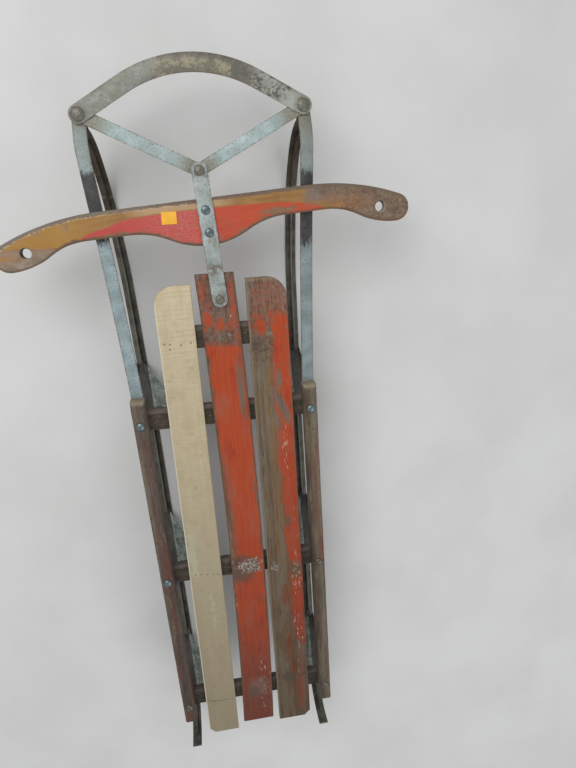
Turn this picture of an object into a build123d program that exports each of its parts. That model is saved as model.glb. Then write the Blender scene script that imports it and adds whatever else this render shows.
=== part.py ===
from build123d import *
from math import atan2, copysign, cos, degrees, radians, sin
import os

os.makedirs("parts", exist_ok=True)

# Overall
length = 1335.5  # bumper crown to runner tails
deck_top = 150.0  # above the ground
nose_y = length / 2
tail_y = -length / 2

# Steering geometry, the tiller standing turned to the left
steer = 3.7  # degrees
link = 199.0  # tiller pivot to brace apex
crown_reach = 159.4  # brace apex to bumper crown
bar_line = 112.0  # tiller pivot to the rope holes' line
pivot_off = 1.7  # pivot left of the deck's centre line
pivot_x = bar_line * sin(radians(steer))
deck_x = pivot_x + pivot_off
apex_x = pivot_x - link * sin(radians(steer))
apex_y = nose_y - crown_reach
pivot_y = apex_y - link * cos(radians(steer))

# Stock
slat_t = 10.0
bench_w = 38.0
bench_t = 14.0
rail_w = 25.0
rail_h = 25.0
strip_t = 3.0
strap_w = 20.0
brace_w = 19.5
bumper_w = 26.0
tiller_w = 25.0
flange_w = 19.0
web_t = 3.0
web_h = 10.0
knee_t = 2.0

# Clearances
slide_gap = 0.2  # between flat pieces that turn on each other
bar_gap = 0.4  # steering bar over the side straps
bolt_play = 0.25
pin_play = 0.06  # running fit, radial
drift_fore = 2.9  # play of the apex rivet in the tiller, forward
drift_aft = 0.6
slot_play = 0.3

# Levels
bench_top = deck_top - slat_t
bench_foot = bench_top - bench_t
strap_top = bench_top + strip_t
brace_top = strap_top + strip_t
bumper_top = brace_top + strip_t
rail_top = bench_top + rail_h
tip_foot = bench_top - strip_t
bar_foot = strap_top + bar_gap
bar_top = 158.0

# Stations: the nose goes by the steering geometry, the rest by shares of the length from the tail
tip_drop = 84.3  # tip rivets ahead of the brace apex
tip_y = apex_y + tip_drop
nose_start = tip_y - 168.15  # where the runners leave the ground
slat_front = pivot_y + 42.5
cleat_y = slat_front - 104.8
bench_front = [tail_y + share * length for share in (0.5950, 0.3566, 0.1269)]
rail_front = bench_front[0] + 25.5
rail_rear = bench_front[2] - 60.7
slat_rear = bench_front[2] - 98.24
strap_rear = rail_front - 59.5

# Half-spacings
tip_half = 165.0
rail_half_front = 147.1
rail_half_rear = 141.4

# The frame stands racked to the left, evenly from the rails' rear ends to the bumper
sway_slope = (deck_x - apex_x) / (tip_y - rail_rear)


def centre(y):
    """Where the frame's middle line stands at a station."""
    return deck_x - sway_slope * max(0.0, y - rail_rear)


def along(stations, side, shift=0.0):
    """Points of one long edge: half-spacings at stations, shifted outward."""
    return [(centre(y) + side * (half + shift), y) for y, half in stations]


def spacing(stations, y):
    """Half-spacing of a line of stations at y."""
    for (y0, half0), (y1, half1) in zip(stations, stations[1:]):
        if y0 <= y <= y1:
            return half0 + (half1 - half0) * (y - y0) / (y1 - y0)


rail_line = [(rail_rear, rail_half_rear), (rail_front, rail_half_front)]
strap_line = [
    (strap_rear, rail_half_front - 0.5),
    (rail_front, rail_half_front + 0.2),
    (slat_front - 64.8, tip_half - 11.8),
    (nose_start - 23.0, tip_half - 5.7),
    (apex_y + 1.2, tip_half + 1.4),
    (tip_y - 42.6, tip_half + 3.3),
    (tip_y, tip_half),
]
runner_line = [
    (tail_y, rail_half_rear - 0.6),
    (bench_front[2], spacing(rail_line, bench_front[2]) - 1.4),
    (bench_front[1], spacing(rail_line, bench_front[1]) - 1.3),
    (bench_front[0], spacing(rail_line, bench_front[0]) - 1.1),
    (rail_front + 37.5, rail_half_front + 1.0),
    (slat_front - 14.8, tip_half - 13.5),
    (nose_start, tip_half - 8.0),
    (tip_y - 72.6, tip_half - 2.0),
    (tip_y, tip_half),
]

# Fastenings
head_slope = 38.0  # of a low head's rim, from upright
bolt_r = 3.0
rivet_r = 3.5
bench_mid = [front - bench_w / 2 for front in bench_front]
bolt_spots = [(centre(y) + side * spacing(rail_line, y), y) for y in bench_mid for side in (-1, 1)]
tip_spots = [(centre(tip_y) + side * tip_half, tip_y) for side in (-1, 1)]
bar_bolt_reach = (107.0, 141.0)

# Outer slats
outer_slats = [
    # name, side, inner edge, width, front and rear behind the centre slat's, front corner, rear corner
    ("slat_left", -1, 47.0, 61.0, 15.2, 14.0, 32.0, 12.0),
    ("slat_right", 1, 41.5, 67.0, 11.8, 10.0, 33.0, 12.0),
]
edge_ease = 1.2
for label, side, inner, width, behind_front, behind_rear, corner, clip in outer_slats:
    outer_x = deck_x + side * (inner + width)
    front = slat_front - behind_front
    rear = slat_rear - behind_rear
    with BuildPart() as slat:
        with BuildSketch(Plane.XY.offset(bench_top)) as outline:
            with Locations((deck_x + side * (inner + width / 2), (front + rear) / 2)):
                Rectangle(width, front - rear)
            fillet(outline.vertices().sort_by_distance((outer_x, front, bench_top))[0], corner)
            chamfer(outline.vertices().sort_by_distance((outer_x, rear, bench_top))[0], clip)
        extrude(amount=slat_t)
        chamfer(slat.faces().sort_by(Axis.Z)[-1].edges(), edge_ease)
    slat.part.label = label
    export_step(slat.part, f"parts/{label}.step")

# Centre slat, crooked as grown
slat_w = 63.5
crook = [(slat_rear, -3.0), ((bench_front[0] + 2 * bench_front[1]) / 3, 3.7), (slat_front, -7.5)]
with BuildPart() as slat_centre:
    with BuildSketch(Plane.XY.offset(bench_top)) as outline:
        with BuildLine():
            left = ThreePointArc([(deck_x + x - slat_w / 2, y) for y, x in crook])
            right = ThreePointArc([(deck_x + x + slat_w / 2, y) for y, x in crook])
            Line(left @ 0, right @ 0)
            Line(left @ 1, right @ 1)
        make_face()
        with Locations((pivot_x, pivot_y)):
            Circle(rivet_r + bolt_play, mode=Mode.SUBTRACT)
    extrude(amount=slat_t)
slat_centre.part.label = "slat_centre"
export_step(slat_centre.part, "parts/slat_centre.step")

# Front cleat, under the slats only
cleat_half = 98.0
board_ease = 1.2
with BuildPart() as front_cleat:
    with BuildSketch(Plane.XY.offset(bench_foot)):
        with Locations((deck_x, cleat_y)):
            Rectangle(2 * cleat_half, bench_w)
    extrude(amount=bench_t)
    chamfer(front_cleat.faces().sort_by(Axis.Z)[0].edges(), board_ease)
front_cleat.part.label = "front_cleat"
export_step(front_cleat.part, "parts/front_cleat.step")

# Benches
bench_over = 14.0  # past the bolts
for label, mid in zip(("bench_front", "bench_middle", "bench_rear"), bench_mid):
    reach = spacing(rail_line, mid) + bench_over
    with BuildPart() as bench:
        with BuildSketch(Plane.XY.offset(bench_foot)):
            with Locations((centre(mid), mid)):
                Rectangle(2 * reach, bench_w)
            with Locations(*[spot for spot in bolt_spots if spot[1] == mid]):
                Circle(bolt_r + bolt_play, mode=Mode.SUBTRACT)
        extrude(amount=bench_t)
        chamfer(bench.edges().filter_by(Axis.X), board_ease)
    bench.part.label = label
    export_step(bench.part, f"parts/{label}.step")

# Side rails, each rebated over its strap
rail_round = 6.0
rail_ease = 4.5
for label, side in (("rail_left", -1), ("rail_right", 1)):
    with BuildPart() as rail:
        with BuildSketch(Plane.XY.offset(bench_top)):
            with BuildLine():
                inner = along(rail_line, side, -rail_w / 2)
                outer = along(rail_line, side, rail_w / 2)
                Polyline(*inner, *reversed(outer), close=True)
            make_face()
        extrude(amount=rail_h)
        chamfer(rail.edges().filter_by(Axis.Z), rail_round)
        chamfer(rail.faces().sort_by(Axis.Z)[-1].edges(), rail_ease)
        with BuildSketch(Plane.XY.offset(bench_top)):
            with Locations(*bolt_spots):
                Circle(bolt_r + bolt_play)
        extrude(amount=rail_h, mode=Mode.SUBTRACT)
        with BuildSketch(Plane.XY.offset(bench_top)):
            with Locations((centre(rail_front) + side * rail_line[-1][1], rail_front)):
                Rectangle(2 * rail_w, 2 * (rail_front - strap_rear + strap_w / 2))
        extrude(amount=strip_t, mode=Mode.SUBTRACT)
    rail.part.label = label
    export_step(rail.part, f"parts/{label}.step")

# Side straps
for label, side in (("side_strap_left", -1), ("side_strap_right", 1)):
    with BuildPart() as strap:
        with BuildSketch(Plane.XY.offset(bench_top)):
            with BuildLine():
                inner = Spline(along(strap_line, side, -strap_w / 2))
                outer = Spline(along(strap_line, side, strap_w / 2))
                Line(inner @ 0, outer @ 0)
                Line(inner @ 1, outer @ 1)
            make_face()
            with Locations(along(strap_line, side)[0], along(strap_line, side)[-1]):
                Circle(strap_w / 2)
            with Locations(*bolt_spots[:2]):
                Circle(bolt_r + bolt_play, mode=Mode.SUBTRACT)
            with Locations(*tip_spots):
                Circle(rivet_r + 0.3, mode=Mode.SUBTRACT)
        extrude(amount=strip_t)
    strap.part.label = label
    export_step(strap.part, f"parts/{label}.step")

# Runner side view: the nose sweeps up, bends flat under the strap, the tail curls
tip_start = tip_y - 12.0
bend_r = 7.0
tail_r = 105.0
tail_turn = 104.0
tail_start = tail_y + tail_r
nose_run = tip_start - nose_start
nose_turn = 2 * atan2(tip_foot, nose_run)
nose_r = nose_run / sin(nose_turn) - bend_r
nose_deg = degrees(nose_turn)
web_nose = nose_deg - 14.0
web_tail = tail_turn - 16.0
for label, side in (("runner_left", -1), ("runner_right", 1)):
    with BuildPart() as web:
        with BuildSketch(Plane.YZ):
            with BuildLine():
                low_nose = CenterArc((nose_start, nose_r), nose_r - strip_t + 0.5, -90, web_nose)
                low = Line((nose_start, strip_t - 0.5), (tail_start, strip_t - 0.5))
                low_tail = CenterArc((tail_start, tail_r), tail_r - strip_t + 0.5, -90, -web_tail)
                top_nose = CenterArc((nose_start, nose_r), nose_r - strip_t - web_h, -90, web_nose)
                top = Line((nose_start, strip_t + web_h), (tail_start, strip_t + web_h))
                top_tail = CenterArc((tail_start, tail_r), tail_r - strip_t - web_h, -90, -web_tail)
                Line(low_nose @ 1, top_nose @ 1)
                Line(low_tail @ 1, top_tail @ 1)
            make_face()
        extrude(amount=2 * tip_half, both=True)
        with BuildSketch(Plane.XY):
            with BuildLine():
                inner = Spline(along(runner_line, side, -web_t / 2))
                outer = Spline(along(runner_line, side, web_t / 2))
                Line(inner @ 0, outer @ 0)
                Line(inner @ 1, outer @ 1)
            make_face()
        extrude(amount=deck_top, mode=Mode.INTERSECT)
    with BuildPart() as runner:
        with BuildSketch(Plane.YZ):
            with BuildLine():
                Line((tip_y + flange_w, tip_foot), (tip_start, tip_foot))
                CenterArc((tip_start, tip_foot - bend_r), bend_r, 90, nose_deg)
                CenterArc((nose_start, nose_r), nose_r, -90, nose_deg)
                Line((nose_start, 0), (tail_start, 0))
                out_tail = CenterArc((tail_start, tail_r), tail_r, -90, -tail_turn)
                Line((tip_y + flange_w, bench_top), (tip_start, bench_top))
                CenterArc((tip_start, tip_foot - bend_r), bend_r + strip_t, 90, nose_deg)
                CenterArc((nose_start, nose_r), nose_r - strip_t, -90, nose_deg)
                Line((nose_start, strip_t), (tail_start, strip_t))
                in_tail = CenterArc((tail_start, tail_r), tail_r - strip_t, -90, -tail_turn)
                Line(out_tail @ 1, in_tail @ 1)
                Line((tip_y + flange_w, tip_foot), (tip_y + flange_w, bench_top))
            make_face()
        extrude(amount=2 * tip_half, both=True)
        with BuildSketch(Plane.XY):
            with BuildLine():
                inner = Spline(along(runner_line, side, -flange_w / 2))
                outer = Spline(along(runner_line, side, flange_w / 2))
                Line(inner @ 0, outer @ 0)
                Line(inner @ 1, outer @ 1)
            make_face()
            with Locations(along(runner_line, side)[-1]):
                Circle(flange_w / 2)
            with Locations(*tip_spots):
                Circle(rivet_r + 0.3, mode=Mode.SUBTRACT)
        extrude(amount=deck_top, mode=Mode.INTERSECT)
        add(web.part)
    runner.part.label = label
    export_step(runner.part, f"parts/{label}.step")

# Knees: stamped gussets leaning forward to the runners, their outer edges folded up and a vein raised in each
knee_table = [
    # name, foot ahead of the bench's front edge
    ("knee_front", 49.0),
    ("knee_middle", 44.0),
    ("knee_rear", 36.0),
]
foot_z = strip_t + web_h
knee_back = 2.0  # behind the bench's front edge
knee_out = 8.0  # outer edge, from the runner's web
knee_in = (7.5, 37.0, 76.0)  # inner edge at the foot, half way and at the bench
fold_h = 6.0
fold_w = 2.5
vein_h = 2.5
vein_low = (-1.0, 3.0)
vein_high = (22.0, 38.0)
plate = (knee_out + knee_in[2], 32.0)  # flange under the bench
tab = (knee_t, 16.0)  # beside the web
tab_gap = 0.3
tab_top = 6.0
for (word, ahead), edge_y in zip(knee_table, bench_front):
    front = edge_y - knee_back
    foot_y = front + ahead
    height = bench_foot - foot_z
    rise = (height**2 + ahead**2) ** 0.5
    for suffix, side in (("_left", -1), ("_right", 1)):
        foot_x = centre(foot_y) + side * spacing(runner_line, foot_y)
        aft_x = centre(foot_y - tab[1]) + side * spacing(runner_line, foot_y - tab[1])
        veer = degrees(atan2(foot_x - aft_x, tab[1]))
        leaning = Plane((foot_x, foot_y, foot_z), (-1, 0, 0), (0, height, ahead))
        with BuildPart() as knee:
            with BuildSketch(leaning):
                with BuildLine():
                    edge = [(side * x, rise * share) for x, share in zip(knee_in, (0, 0.5, 1))]
                    inner = ThreePointArc(*edge)
                    Polyline(inner @ 1, (-side * knee_out, rise), (-side * knee_out, 0), inner @ 0)
                make_face()
            extrude(amount=knee_t)
            with BuildSketch(leaning):
                with Locations((-side * (knee_out - fold_w / 2), rise / 2)):
                    Rectangle(fold_w, rise)
            extrude(amount=knee_t + fold_h)
            with BuildSketch(leaning.offset(knee_t)):
                with BuildLine():
                    low = [(side * x, rise / 8) for x in vein_low]
                    high = [(side * x, rise) for x in reversed(vein_high)]
                    Polyline(*(low + high)[::side], close=True)
                make_face()
            extrude(amount=vein_h, taper=30)
            with BuildSketch(Plane.XY.offset(bench_foot)):
                with Locations((foot_x - side * (knee_in[2] - knee_out) / 2, front - plate[1] / 2 + knee_t)):
                    Rectangle(*plate)
            extrude(amount=-knee_t)
            with BuildSketch(Plane.XY.offset(bench_foot)):
                with Locations(*bolt_spots):
                    Circle(bolt_r + bolt_play)
            extrude(amount=-knee_t, mode=Mode.SUBTRACT)
            split(bisect_by=Plane.XY.offset(bench_foot), keep=Keep.BOTTOM)
            split(bisect_by=Plane.XY.offset(foot_z), keep=Keep.TOP)
            with BuildSketch(Plane.XY.offset(strip_t + tab_gap)):
                with Locations((foot_x - side * (web_t / 2 + tab_gap + knee_t / 2), foot_y)):
                    Rectangle(*tab, rotation=-veer)
            extrude(amount=web_h + tab_top)
        knee.part.label = word + suffix
        export_step(knee.part, f"parts/{word + suffix}.step")

# Bolts with low round heads and square nuts: name, spots, seats of head and nut, head radius and height
tiller_top = bar_top + strip_t
heading = Vector(-sin(radians(steer)), cos(radians(steer)), 0)
bar_bolt_spots = [(pivot_x + reach * heading.X, pivot_y + reach * heading.Y) for reach in bar_bolt_reach]
bolt_table = [
    ("rail_bolts", bolt_spots, rail_top, bench_foot - knee_t, 8.0, 3.5),
    ("bar_bolts", bar_bolt_spots, tiller_top, bar_foot, 7.0, 2.6),
]
nut_t = 4.5
nut_across = 10.0
for label, spots, seat, nut_seat, head, height in bolt_table:
    with BuildPart() as bolts:
        with BuildSketch(Plane.XY.offset(nut_seat - nut_t)):
            with Locations(*spots):
                Rectangle(nut_across, nut_across)
        extrude(amount=nut_t)
        with BuildSketch(Plane.XY.offset(nut_seat)):
            with Locations(*spots):
                Circle(bolt_r)
        extrude(amount=seat - nut_seat)
        with BuildSketch(Plane.XY.offset(seat)):
            with Locations(*spots):
                RegularPolygon(head, 16)
        extrude(amount=height, taper=head_slope)
    bolts.part.label = label
    export_step(bolts.part, f"parts/{label}.step")

# Steering bar, outline in its own frame: origin at the pivot, Y forward
bar_fore = 158.5  # front edge
bar_flat = 162.0  # half length of its straight part
shoulder_r = 376.0
shoulder_deg = 23.3
paddle_r = 21.5
bar_back = 118.5  # rear edge between paddles and waist
bar_aft = 87.5  # rear edge at the waist
neck_half = 186.0
waist_half = 122.0
rope_x = 276.0
rope_r = 7.5
bar_ease = (3.0, 2.0)  # top, bottom


def ess(start, run, rise):
    """Two equal arcs that carry a line heading -X on by run and over to +Y by rise."""
    turn = 2 * atan2(rise, run)
    size = copysign(degrees(turn), rise)
    first = JernArc(start, (-1, 0), run / (2 * sin(abs(turn))), -size)
    return JernArc(first @ 1, first % 1, run / (2 * sin(abs(turn))), size)


bar_plane = Plane((pivot_x, pivot_y, bar_foot), (heading.Y, -heading.X, 0))
with BuildPart() as steering_bar:
    with BuildSketch(bar_plane):
        with BuildLine():
            front = Line((0, bar_fore), (bar_flat, bar_fore))
            shoulder = JernArc(front @ 1, (1, 0), shoulder_r, -shoulder_deg)
            paddle = JernArc(shoulder @ 1, shoulder % 1, paddle_r, shoulder_deg - 180)
            neck = ess(paddle @ 1, (paddle @ 1).X - neck_half, bar_back - (paddle @ 1).Y)
            back = Line(neck @ 1, (waist_half, bar_back))
            ess(back @ 1, waist_half, bar_aft - bar_back)
            mirror(about=Plane.YZ)
        make_face()
        with Locations((-rope_x, bar_line), (rope_x, bar_line)):
            Circle(rope_r, mode=Mode.SUBTRACT)
        with Locations(*[(0, reach) for reach in bar_bolt_reach]):
            Circle(bolt_r + bolt_play, mode=Mode.SUBTRACT)
    extrude(amount=bar_top - bar_foot)
    chamfer(steering_bar.faces().sort_by(Axis.Z)[-1].outer_wire().edges(), bar_ease[0])
    chamfer(steering_bar.faces().sort_by(Axis.Z)[0].outer_wire().edges(), bar_ease[1])
steering_bar.part.label = "steering_bar"
export_step(steering_bar.part, "parts/steering_bar.step")

# Tiller strap, bowed up over the bar, side view along its own length
tiller_foot = deck_top + slide_gap
apex_foot = bumper_top + slide_gap
end_over = tiller_w / 2
bow_start = bar_aft - 49.5  # the bow's foot and top, behind the bar and over it
bow_top = bar_aft - 11.5
bow_end = bar_fore + 1.5
bow_over = bar_fore + 17.5
bow_r = 14.0
side_plane = Plane((pivot_x, pivot_y, 0), heading, (heading.Y, -heading.X, 0))
tiller_line = [
    (-end_over, tiller_foot),
    (bow_start, tiller_foot),
    (bow_top, bar_top),
    (bow_end, bar_top),
    (bow_over, apex_foot),
    (link + end_over, apex_foot),
]
with BuildPart() as tiller_strap:
    with BuildSketch(side_plane):
        with BuildLine():
            low = FilletPolyline(*tiller_line, radius=bow_r)
            high = FilletPolyline(*[(x, z + strip_t) for x, z in tiller_line], radius=bow_r)
            Line(low @ 0, high @ 0)
            Line(low @ 1, high @ 1)
        make_face()
    extrude(amount=end_over, both=True)
    with BuildSketch(Plane((pivot_x, pivot_y, 0), heading)):
        with Locations((link / 2, 0)):
            SlotCenterToCenter(link, tiller_w)
        Circle(rivet_r + pin_play, mode=Mode.SUBTRACT)
        with Locations(*[(reach, 0) for reach in bar_bolt_reach]):
            Circle(bolt_r + bolt_play, mode=Mode.SUBTRACT)
        with Locations((link + (drift_fore - drift_aft) / 2, 0)):
            SlotCenterToCenter(drift_fore + drift_aft, 2 * (rivet_r + slot_play), mode=Mode.SUBTRACT)
    extrude(amount=2 * deck_top, mode=Mode.INTERSECT)
tiller_strap.part.label = "tiller_strap"
export_step(tiller_strap.part, "parts/tiller_strap.step")

# Bumper: one flat strip, straight arms and a rounder crown
crown_r = 202.0
arm_deg = 28.5
crown_y = apex_y + crown_reach - bumper_w / 2
with BuildPart() as bumper:
    with BuildSketch(Plane.XY.offset(brace_top)) as outline:
        with BuildLine():
            crown = CenterArc((apex_x, crown_y - crown_r), crown_r, 90 - arm_deg, 2 * arm_deg)
            Line(crown @ 0, tip_spots[1])
            Line(crown @ 1, tip_spots[0])
            offset(amount=bumper_w / 2)
        make_face()
        with Locations(*tip_spots):
            Circle(rivet_r + bolt_play, mode=Mode.SUBTRACT)
    extrude(amount=strip_t)
bumper.part.label = "bumper"
export_step(bumper.part, "parts/bumper.step")

# Braces, lapped at the apex, the right one joggled over the left
joggle = (48.0, 34.0)  # from the apex
for label, side, spot in (("brace_left", -1, tip_spots[0]), ("brace_right", 1, tip_spots[1])):
    run = Vector(apex_x - spot[0], apex_y - spot[1], 0)
    upright = Plane((spot[0], spot[1], 0), run, Vector(0, 0, 1).cross(run) * -1)
    flat = Plane((spot[0], spot[1], 0), run)
    step = strip_t if side > 0 else 0.0
    levels = [
        (-brace_w / 2, strap_top),
        (run.length - joggle[0], strap_top),
        (run.length - joggle[1], strap_top + step),
        (run.length + brace_w / 2, strap_top + step),
    ]
    with BuildPart() as brace:
        with BuildSketch(upright):
            with BuildLine():
                low = Polyline(*levels)
                high = Polyline(*[(x, z + strip_t) for x, z in levels])
                Line(low @ 0, high @ 0)
                Line(low @ 1, high @ 1)
            make_face()
        extrude(amount=brace_w / 2, both=True)
        with BuildSketch(flat):
            with Locations((run.length / 2, 0)):
                SlotCenterToCenter(run.length, brace_w)
            with Locations((0, 0), (run.length, 0)):
                Circle(rivet_r + bolt_play, mode=Mode.SUBTRACT)
        extrude(amount=2 * deck_top, mode=Mode.INTERSECT)
    brace.part.label = label
    export_step(brace.part, f"parts/{label}.step")

# Rivets: name, spots, underside, top, head radius, head height, tail radius
rivet_table = [
    ("tip_rivets", tip_spots, tip_foot, bumper_top, 10.0, 4.0, 6.5),
    ("apex_rivet", [(apex_x, apex_y)], strap_top, apex_foot + strip_t + slide_gap, 8.0, 3.4, 6.5),
    ("pivot_rivet", [(pivot_x, pivot_y)], bench_top, tiller_foot + strip_t + slide_gap, 7.5, 3.2, 6.5),
]
tail_h = 2.5
for label, spots, low, high, head, height, tail in rivet_table:
    with BuildPart() as rivet:
        with BuildSketch(Plane.XY.offset(low)):
            with Locations(*spots):
                Circle(rivet_r)
        extrude(amount=high - low)
        for sign, base, radius, rise in ((1, high, head, height), (-1, low, tail, tail_h)):
            with BuildSketch(Plane((0, 0, base), (1, 0, 0), (0, 0, sign))):
                with Locations(*[(x, sign * y) for x, y in spots]):
                    RegularPolygon(radius, 16)
            extrude(amount=rise, taper=head_slope)
    rivet.part.label = label
    export_step(rivet.part, f"parts/{label}.step")
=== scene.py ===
from math import atan2, cos, degrees, radians, sin, sqrt

import bmesh
import bpy
from mathutils import Matrix, Vector


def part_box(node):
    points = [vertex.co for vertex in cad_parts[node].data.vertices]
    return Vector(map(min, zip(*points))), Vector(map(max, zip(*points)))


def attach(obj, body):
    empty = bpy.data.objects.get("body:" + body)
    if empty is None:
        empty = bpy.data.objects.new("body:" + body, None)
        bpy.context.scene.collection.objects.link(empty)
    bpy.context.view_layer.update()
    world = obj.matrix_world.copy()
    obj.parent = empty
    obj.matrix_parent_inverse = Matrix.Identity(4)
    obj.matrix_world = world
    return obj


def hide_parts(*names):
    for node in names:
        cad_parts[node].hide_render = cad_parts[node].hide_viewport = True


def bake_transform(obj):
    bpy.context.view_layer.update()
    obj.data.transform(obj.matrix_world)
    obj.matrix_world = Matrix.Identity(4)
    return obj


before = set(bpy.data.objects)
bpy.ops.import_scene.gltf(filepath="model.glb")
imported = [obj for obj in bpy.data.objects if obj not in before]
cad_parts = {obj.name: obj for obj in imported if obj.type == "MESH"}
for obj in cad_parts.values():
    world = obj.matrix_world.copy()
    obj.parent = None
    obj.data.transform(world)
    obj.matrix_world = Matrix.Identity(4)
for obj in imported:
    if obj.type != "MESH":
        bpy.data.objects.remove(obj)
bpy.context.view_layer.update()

# The view: from above the bumper, looking down on the deck, with the bumper at the picture's top and the tails
# at its foot.
camera_data = bpy.data.cameras.new("camera")
camera_data.sensor_fit = "VERTICAL"
camera_data.sensor_height = 36.0
focal_share = 575.135 / 768
camera_data.lens = focal_share * camera_data.sensor_height
camera = bpy.data.objects.new("camera", camera_data)
camera.matrix_world = Matrix((
    (0.986496, 0.101865, -0.128251, -0.0177),
    (-0.055326, 0.944285, 0.324445, 0.47781),
    (0.154155, -0.312968, 0.93717, 1.08943),
    (0.0, 0.0, 0.0, 1.0),
))
bpy.context.scene.collection.objects.link(camera)
bpy.context.scene.camera = camera
bpy.context.scene.view_settings.view_transform = "Standard"


# The stage: a plain pale floor under soft studio light, a broad lamp over the bumper's left and a weaker one
# over the tail.
class Wire:
    """A socket among a material's nodes. Sums on it add Math nodes, and node() adds any other."""

    def __init__(self, tree, socket):
        self.tree = tree
        self.socket = socket

    def node(self, kind, feeds, out=0, stops=None, **settings):
        made = self.tree.nodes.new("ShaderNode" + kind)
        for name, value in settings.items():
            setattr(made, name, value)
        if kind == "FloatCurve":
            line = made.mapping.curves[0]
            line.points[0].location = stops[0]
            line.points[1].location = stops[-1]
            for stop in stops[1:-1]:
                line.points.new(*stop)
            for point in line.points:
                point.handle_type = "AUTO_CLAMPED"
            made.mapping.update()
        for key, value in feeds.items():
            if isinstance(value, Wire):
                self.tree.links.new(value.socket, made.inputs[key])
            else:
                made.inputs[key].default_value = value
        return Wire(self.tree, made.outputs[out])

    def sum(self, operation, first, second):
        return self.node("Math", {0: first, 1: second}, operation=operation)

    def __add__(self, other):
        return self.sum("ADD", self, other)

    __radd__ = __add__

    def __sub__(self, other):
        return self.sum("SUBTRACT", self, other)

    def __rsub__(self, other):
        return self.sum("SUBTRACT", other, self)

    def __mul__(self, other):
        return self.sum("MULTIPLY", self, other)

    def __truediv__(self, other):
        return self.sum("DIVIDE", self, other)

    def least(self, *others):
        return self if not others else self.sum("MINIMUM", self, others[0]).least(*others[1:])

    def most(self, *others):
        return self if not others else self.sum("MAXIMUM", self, others[0]).most(*others[1:])

    def size(self):
        return self.sum("ABSOLUTE", self, 0.0)

    def root(self):
        return self.node("Math", {0: self}, operation="SQRT")

    def wave(self):
        return self.node("Math", {0: self}, operation="SINE")

    def over(self, low, high):
        """0 below low, 1 above high, smooth between."""
        feeds = {"Value": self, "From Min": low, "From Max": high}
        return self.node("MapRange", feeds, interpolation_type="SMOOTHSTEP")

    def tint(self, base, top):
        """The colour base where this is 0, top where it is 1."""
        return self.node("Mix", {0: self, 6: base, 7: top}, out=2, data_type="RGBA")

    def shade(self, by):
        """A colour made darker or paler by a number round 1."""
        return self.node("VectorMath", {0: self, "Scale": by}, operation="SCALE")

    def wash(self, mask, share, *screen):
        """Lays another colour, 0 to 255 as on a screen, over this one by the mask times the share."""
        self.socket = (mask * share).tint(self, tone(*screen)).socket

    def stretch(self, x, y, z):
        return self.node("VectorMath", {0: self, 1: (x, y, z)}, operation="MULTIPLY")

    def cloud(self, scale, detail=3.0, rough=0.5, warp=0.0, aside=1, along=1):
        """Noise of about 0.3 to 0.7, drawn out sideways or along where aside or along is under 1."""
        field = self if aside == along else self.stretch(aside, along, 1)
        feeds = {"Vector": field, "Scale": scale, "Detail": detail, "Roughness": rough, "Distortion": warp}
        return self.node("TexNoise", feeds)

    def swing(self, reach):
        """Noise made to run as far below 0 as above it."""
        return (self - 0.5) * reach

    def axes(self):
        return [self.node("SeparateXYZ", {0: self}, out=axis) for axis in range(3)]

    def trace(self, points):
        """A curve through (this value, result) points."""
        low, high = points[0][0], points[-1][0]
        floor, top = min(p[1] for p in points) - 1, max(p[1] for p in points) + 1
        stops = [((at - low) / (high - low), (value - floor) / (top - floor)) for at, value in points]
        share = self.node("MapRange", {"Value": self, "From Min": low, "From Max": high})
        return self.node("FloatCurve", {"Value": share}, stops=stops) * (top - floor) + floor


def tone(red, green, blue):
    """A colour as a screen gives it, 0 to 255, in the shader's own measure."""
    parts = [part / 255 for part in (red, green, blue)]
    return (*[part / 12.92 if part <= 0.04045 else ((part + 0.055) / 1.055) ** 2.4 for part in parts], 1.0)


def new_finish(name):
    """A material and its object coordinates in millimetres."""
    material = bpy.data.materials.new(name)
    material.use_nodes = True
    tree = material.node_tree
    metres = Wire(tree, tree.nodes.new("ShaderNodeTexCoord").outputs["Object"])
    return material, metres.stretch(1000, 1000, 1000)


def lay(material, colour, rough, height=None, metal=0.0, shine=0.5):
    """Feeds the shader: colour, roughness, relief in mm, how far it is bare metal and how it reflects."""
    shader = material.node_tree.nodes["Principled BSDF"]
    feeds = {"Base Color": colour, "Roughness": rough, "Metallic": metal, "Specular IOR Level": shine}
    if height is not None:
        feeds["Normal"] = height.node("Bump", {"Height": height, "Strength": 1.0, "Distance": 0.001})
    for key, value in feeds.items():
        if isinstance(value, Wire):
            material.node_tree.links.new(value.socket, shader.inputs[key])
        else:
            shader.inputs[key].default_value = value


bpy.ops.mesh.primitive_plane_add(size=14, location=(0, 0, 0))
floor = bpy.context.object
floor.name = "floor"
floor_finish, mm = new_finish("pale floor")
lay(floor_finish, mm.cloud(0.004, 4).over(0.3, 0.7).tint(tone(196, 196, 193), tone(204, 204, 202)), 0.85)
floor.data.materials.append(floor_finish)

for name, spot, power in (("lamp_front", (-0.9, 1.5, 2.3), 38.0), ("lamp_tail", (1.2, -1.4, 2.2), 16.0)):
    lamp_data = bpy.data.lights.new(name, "AREA")
    lamp_data.shape = "DISK"
    lamp_data.size = 1.8
    lamp_data.energy = power
    lamp = bpy.data.objects.new(name, lamp_data)
    lamp.location = spot
    lamp.rotation_euler = (Vector((0, 0, 0.1)) - Vector(spot)).to_track_quat("-Z", "Y").to_euler()
    bpy.context.scene.collection.objects.link(lamp)
world = bpy.data.worlds.new("studio")
world.use_nodes = True
world.node_tree.nodes["Background"].inputs["Color"].default_value = (0.95, 0.97, 1.0, 1.0)
world.node_tree.nodes["Background"].inputs["Strength"].default_value = 0.62
bpy.context.scene.world = world


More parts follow.
